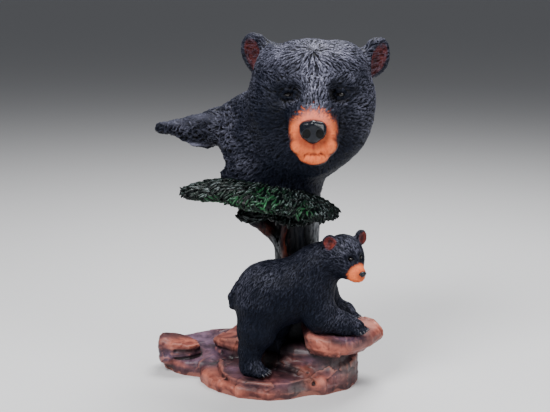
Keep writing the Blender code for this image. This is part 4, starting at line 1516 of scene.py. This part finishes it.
class Paint(Nodes):
    """A material and the nodes put into it."""

    def __init__(self, name, roughness, specular=0.5):
        self.material = bpy.data.materials.new(name)
        self.material.use_nodes = True
        super().__init__(self.material.node_tree)
        self.shader = self.tree.nodes["Principled BSDF"]
        self.shader.inputs["Roughness"].default_value = roughness
        self.shader.inputs["Specular IOR Level"].default_value = specular

    def grain(self, size, detail=3.0, stretch=(1.0, 1.0, 1.0)):
        """Noise with grains of this size in metres, from 0 to 1 with its middle at 0.5."""
        values = {"Scale": 1 / size, "Detail": detail, "Roughness": 0.6, "Stretch": stretch}
        return self.placed_effect(effect("grain", values, "Grain", grain_nodes), values)

    def cut_shade(self, low, high):
        """Painted shade: 0 on open surfaces and 1 deep in cuts, between two depths in units."""
        values = {"Low": low, "High": high}
        return self.placed_effect(effect("painted_cut_shade", values, "Painted_shade", cut_shade_nodes), values)

    def placed_effect(self, group, values):
        """The mask of a node group placed with its own values."""
        made = self.node("Group", node_tree=group)
        for name, value in values.items():
            made.inputs[name].default_value = value
        return made.outputs[0]

    def strands(self, tuft, width):
        """Fine hairs along the mesh's flow, in tufts this size: 0 between hairs, 1 on them."""
        cells = self.node("TexVoronoi")
        self.feed(cells.inputs["Vector"], self.place())
        cells.inputs["Scale"].default_value = 1 / tuft
        flow = self.node("Attribute", attribute_name="flow").outputs["Vector"]
        normal = self.node("NewGeometry").outputs["Normal"]
        across = self.vectors("CROSS_PRODUCT", flow, normal).outputs["Vector"]
        offset = self.vectors("SUBTRACT", self.place(), cells.outputs["Position"])
        spread = self.vectors("DOT_PRODUCT", offset.outputs["Vector"], across).outputs["Value"]
        straight = self.math("DIVIDE", spread, width)
        bent = self.math("MULTIPLY_ADD", cells.outputs["Distance"], 0.9, straight)
        shift = self.node("SeparateColor")
        self.feed(shift.inputs[0], cells.outputs["Color"])
        wave = self.math("ADD", bent, self.times(shift.outputs[0], 5.0))
        return self.math("PINGPONG", wave, 0.5)

    def bump(self, height, distance, strength):
        """Fine relief of a height that runs from 0 to 1, this deep in metres."""
        made = self.node("Bump")
        made.inputs["Distance"].default_value = distance
        made.inputs["Strength"].default_value = strength
        self.feed(made.inputs["Height"], height)
        self.feed(self.shader.inputs["Normal"], made.outputs[0])

    def colour(self, value):
        """Gives the paint its colour."""
        self.feed(self.shader.inputs["Base Color"], value)

    def finish(self, roughness):
        """Gives the paint a roughness that changes over the surface."""
        self.feed(self.shader.inputs["Roughness"], roughness)


def fur_black(paint, ridge):
    """Black fur, dry-brushed with blue-grey on its ridges, which also stands in for painted
    highlights of its sheen, with painted shade in its cuts.
    """
    worn = paint.band(paint.grain(0.0018), 0.3, 0.62, 0.3, 1.0)
    caught = paint.times(paint.band(ridge, 0.5, 1.0), worn)
    # Smooth places painted pale as a highlight take the grey in full
    caught = paint.math("MAXIMUM", caught, paint.value("bare"))
    mottled = paint.grain(0.012)
    black = paint.mix(mottled, (0.0008, 0.0014, 0.0042, 1), (0.0022, 0.0034, 0.0084, 1))
    black = paint.over(black, caught, 0.6, (0.006, 0.010, 0.021, 1))
    # Painted shade, near black, in the fur's cuts
    black = paint.mix(paint.cut_shade(0.0, 0.4), black, (0.0008, 0.0009, 0.0014, 1))
    # Blue-grey dry-brush over the ridges, partly painted highlight of the fur's sheen
    return paint.over(black, caught, paint.value("brush"), (0.40, 0.40, 0.54, 1))


def muzzle_orange(paint, ridge):
    """Orange with a rosy bridge, with painted shade between the hairs and in the cuts, a painted
    shadow round the nose and a dark mark in the mouth.
    """
    warm = paint.mix(paint.grain(0.004), srgb(200, 78, 40), srgb(246, 138, 84))
    warm = paint.over(warm, paint.value("rosy"), 0.75, srgb(214, 122, 104))
    # Painted shade between the hairs
    warm = paint.over(warm, paint.band(ridge, 0.75, 0.25), 0.35, srgb(160, 54, 32))
    # Painted shade in the muzzle's cuts
    warm = paint.mix(paint.cut_shade(0.05, 0.6), warm, srgb(96, 24, 16))
    # Painted shadow round the nose pad, and the mouth's dark mark
    return paint.over(warm, paint.value("stain"), 0.85, srgb(92, 34, 32))


def ear_red(paint, strand):
    """Streaked red, with painted shade deep in the ear's hollow."""
    streak = paint.math("MULTIPLY_ADD", strand, 0.4, paint.grain(0.004))
    inner = paint.mix(paint.band(streak, 0.35, 1.0), srgb(66, 24, 24), srgb(172, 78, 66))
    # Painted shade deep in the ear's hollow
    inner = paint.mix(paint.cut_shade(0.8, 2.2), inner, srgb(40, 12, 14))
    # Painted shade deep in the cub's ears
    return paint.over(inner, paint.value("stain"), 0.85, srgb(30, 9, 9))


def fur_paint():
    """Black paint brushed with blue-grey over the ridges, partly as painted highlight, with painted
    shade in the cuts, an orange muzzle and red ears.
    """
    paint = Paint("fur_paint", 0.5, specular=0.07)
    strand = paint.strands(TUFT, HAIR_WIDTH)
    ridge = paint.math("MULTIPLY_ADD", strand, 0.5, paint.value("ridge"))
    coat = fur_black(paint, ridge)
    coat = paint.mix(paint.value("tan"), coat, muzzle_orange(paint, ridge))
    paint.colour(paint.over(coat, paint.value("red"), 0.95, ear_red(paint, strand)))
    paint.finish(paint.band(paint.grain(0.004), 0.2, 0.8, 0.42, 0.6))
    paint.bump(strand, 0.0002, 0.6)
    return paint.material


def bark_paint():
    """Navy-black bark with a grey strip and brown-red strips, brushed over its ridges, with painted
    shade in its grooves.
    """
    paint = Paint("bark_paint", 0.5, specular=0.2)
    rough = paint.grain(0.002, stretch=(1.0, 1.0, 0.3))
    navy = paint.mix(rough, (0.0012, 0.0018, 0.0036, 1), (0.0050, 0.0070, 0.0130, 1))
    brown = paint.mix(rough, srgb(32, 12, 10), srgb(134, 62, 40))
    grey = paint.mix(rough, srgb(40, 44, 50), srgb(180, 184, 188))
    raised = paint.band(paint.value("ridge"), 0.25, 0.85, 0.15, 1.0)
    coat = paint.over(navy, paint.value("grey"), raised, grey)
    coat = paint.over(coat, paint.value("red"), raised, brown)
    # Painted shade, near black, in the bark's grooves
    paint.colour(paint.mix(paint.cut_shade(0.15, 0.9), coat, (0.001, 0.001, 0.002, 1)))
    paint.bump(rough, 0.0006, 0.8)
    return paint.material


def leaf_paint():
    """Black-green leaves, brushed with green and then with silver on their ribs and tips."""
    paint = Paint("leaf_paint", 0.4, specular=0.16)
    base = paint.mix(paint.value("shade"), srgb(3, 6, 7), srgb(8, 16, 15))
    lift = paint.math("MULTIPLY_ADD", paint.grain(0.0016), 0.5, paint.value("rib"))
    rib = paint.band(lift, 0.9, 1.3)
    fresh = paint.mix(paint.value("shade"), srgb(10, 50, 28), srgb(44, 120, 66))
    coat = paint.over(base, rib, 0.35, srgb(44, 70, 56))
    coat = paint.over(coat, paint.value("green"), paint.band(lift, 0.4, 1.1), fresh)
    silver = paint.times(rib, paint.band(paint.grain(0.006), 0.44, 0.62))
    paint.colour(paint.over(coat, silver, 0.5, srgb(160, 172, 176)))
    paint.bump(paint.grain(0.0008), 0.0002, 0.6)
    return paint.material


# Tints of the stone over its mauve-brown, in the order they are laid: darkest and palest colour
STONE_COLOURS = (
    ("pale", (150, 92, 84), (196, 136, 124)),
    ("violet", (54, 38, 54), (106, 82, 102)),
    ("orange", (122, 58, 48), (202, 116, 94)),
    ("grey", (26, 22, 26), (104, 94, 94)),
)


def rock_paint():
    """Orange stone over mauve-brown, with painted shade almost black in the gaps, under the ledge
    and under the cub, painted highlights on its raised edges, and a satin finish.
    """
    paint = Paint("rock_paint", 0.5, specular=0.28)
    broad = paint.band(paint.grain(0.016), 0.35, 0.65)
    fine = paint.grain(0.0028, detail=5.0)
    stone = paint.mix(broad, srgb(42, 22, 28), srgb(80, 46, 48))
    for name, dark, pale in STONE_COLOURS:
        pattern = fine if name == "grey" else broad
        tint = paint.mix(pattern, srgb(*dark), srgb(*pale))
        stone = paint.mix(paint.value(name), stone, tint)
    stone = paint.over(stone, paint.band(fine, 0.5, 0.72), 0.12, srgb(184, 122, 106))
    stone = paint.over(stone, paint.band(fine, 0.5, 0.3), 0.4, srgb(40, 20, 26))
    # Painted highlight, pale pink, along the stones' raised edges
    edge = paint.band(paint.value("hollow"), -0.6, -0.12, 1.0, 0.0)
    stone = paint.over(stone, edge, 0.28, srgb(206, 132, 112))
    # Painted shade, near black, in the gaps, under the ledge and under the cub
    stone = paint.over(stone, paint.value("dark"), 0.92, srgb(16, 11, 17))
    # Painted shade in the stones' cuts
    paint.colour(paint.over(stone, paint.cut_shade(0.15, 0.8), 0.92, srgb(18, 9, 14)))
    paint.finish(paint.band(fine, 0.2, 0.8, 0.36, 0.56))
    paint.bump(fine, 0.0003, 0.6)
    return paint.material


def nose_paint():
    """Glossy black, with painted shade in its creases and the insides of its nostrils painted near
    black as shade.
    """
    paint = Paint("nose_paint", 0.26, specular=0.3)
    pad = paint.mix(paint.grain(0.002), (0.0020, 0.0030, 0.0060, 1), (0.0070, 0.0090, 0.0150, 1))
    # Painted shade in the nose's creases
    pad = paint.mix(paint.cut_shade(0.1, 0.8), pad, (0.001, 0.001, 0.0015, 1))
    # The insides of the nostrils painted near black: painted shade
    paint.colour(paint.mix(paint.value("pit"), pad, (0.0004, 0.0004, 0.0006, 1)))
    paint.finish(paint.band(paint.value("pit"), 0.0, 1.0, 0.26, 0.9))
    paint.bump(paint.grain(0.0006), 0.00008, 0.5)
    return paint.material


def eye_paint():
    """Polished near-black."""
    paint = Paint("eye_paint", 0.08)
    paint.colour(paint.mix(paint.grain(0.002), (0.002, 0.002, 0.002, 1), (0.008, 0.005, 0.004, 1)))
    return paint.material


def claw_paint():
    """Grey horn, almost black in places."""
    paint = Paint("claw_paint", 0.35)
    paint.colour(paint.mix(paint.grain(0.0012), srgb(14, 14, 18), srgb(84, 84, 92)))
    return paint.material


def nose_mesh(maker, name, pits):
    """A nose pad, with the insides of its nostrils marked for their painted shade."""
    mesh = sculpted(maker, NOSE_VOXEL)
    mesh.name = name
    points = read(mesh, "co")
    pit = np.zeros(len(points))
    for place, radii, turn in pits:
        pit = np.maximum(pit, 1 - rise(egg(points, place, radii, turn), 1.0, 1.25))
    keep(mesh, pit=pit, hollow=hollows(mesh, PLAIN_ROUNDS))
    return mesh


def build_figurine():
    """All pieces of the casting, each placed with its paint."""
    fur, nose, eye = fur_paint(), nose_paint(), eye_paint()
    for mesh in (*bust_meshes(), *cub_meshes()):
        placed(mesh, fur)
    placed(claws_mesh(), claw_paint())
    placed(trunk_mesh(), bark_paint())
    leaf = leaf_paint()
    core = bough_mesh()
    placed(leaves_mesh(core), leaf)
    placed(core, leaf)
    placed(rock_mesh(), rock_paint())
    placed(nose_mesh(model_bear_nose, "bear_nose", [nostril(-1), nostril(1)]), nose)
    placed(nose_mesh(model_cub_nose, "cub_nose", []), nose)
    for place, name in zip(EYES, ("bear_eye_left", "bear_eye_right")):
        placed(eye_mesh(place, EYE_RADIUS, name), eye)
    for place, name in zip(CUB_EYES, ("cub_eye_left", "cub_eye_right")):
        placed(eye_mesh(place, CUB_EYE_RADIUS, name), eye)


def area_light(name, place, size, power):
    """A soft square light, aimed at the middle of the figurine."""
    light = bpy.data.lights.new(name, "AREA")
    light.size, light.energy = size, power
    lamp = bpy.data.objects.new(name, light)
    lamp.location = place
    aim = Vector(LIGHT_AIM) - Vector(place)
    lamp.rotation_euler = aim.to_track_quat("-Z", "Y").to_euler()
    bpy.context.collection.objects.link(lamp)


def build_stage():
    """A plain pale floor and soft light."""
    worked = bmesh.new()
    bmesh.ops.create_grid(worked, x_segments=1, y_segments=1, size=60)
    floor = bpy.data.objects.new("floor", mesh_from(worked, "floor"))
    bpy.context.collection.objects.link(floor)
    paint = Paint("floor_paint", 0.7)
    paint.colour((0.62, 0.62, 0.63, 1))
    floor.data.materials.append(paint.material)
    world = bpy.context.scene.world or bpy.data.worlds.new("World")
    bpy.context.scene.world = world
    world.use_nodes = True
    sky = world.node_tree.nodes["Background"].inputs
    sky["Color"].default_value = (0.62, 0.64, 0.68, 1)
    sky["Strength"].default_value = 0.2
    for light in LIGHTS:
        area_light(*light)


def build_camera():
    """The camera at the photograph's viewing angle."""
    lens = bpy.data.cameras.new("camera")
    lens.sensor_width, lens.lens = SENSOR, CAMERA_LENS
    camera = bpy.data.objects.new("camera", lens)
    camera.location = (np.array(CAMERA_PLACE) + CLAY_ORIGIN) * UNIT
    camera.rotation_euler = (math.radians(90 - CAMERA_DOWN), 0, 0)
    bpy.context.collection.objects.link(camera)
    bpy.context.scene.camera = camera


build_figurine()
build_stage()
build_camera()
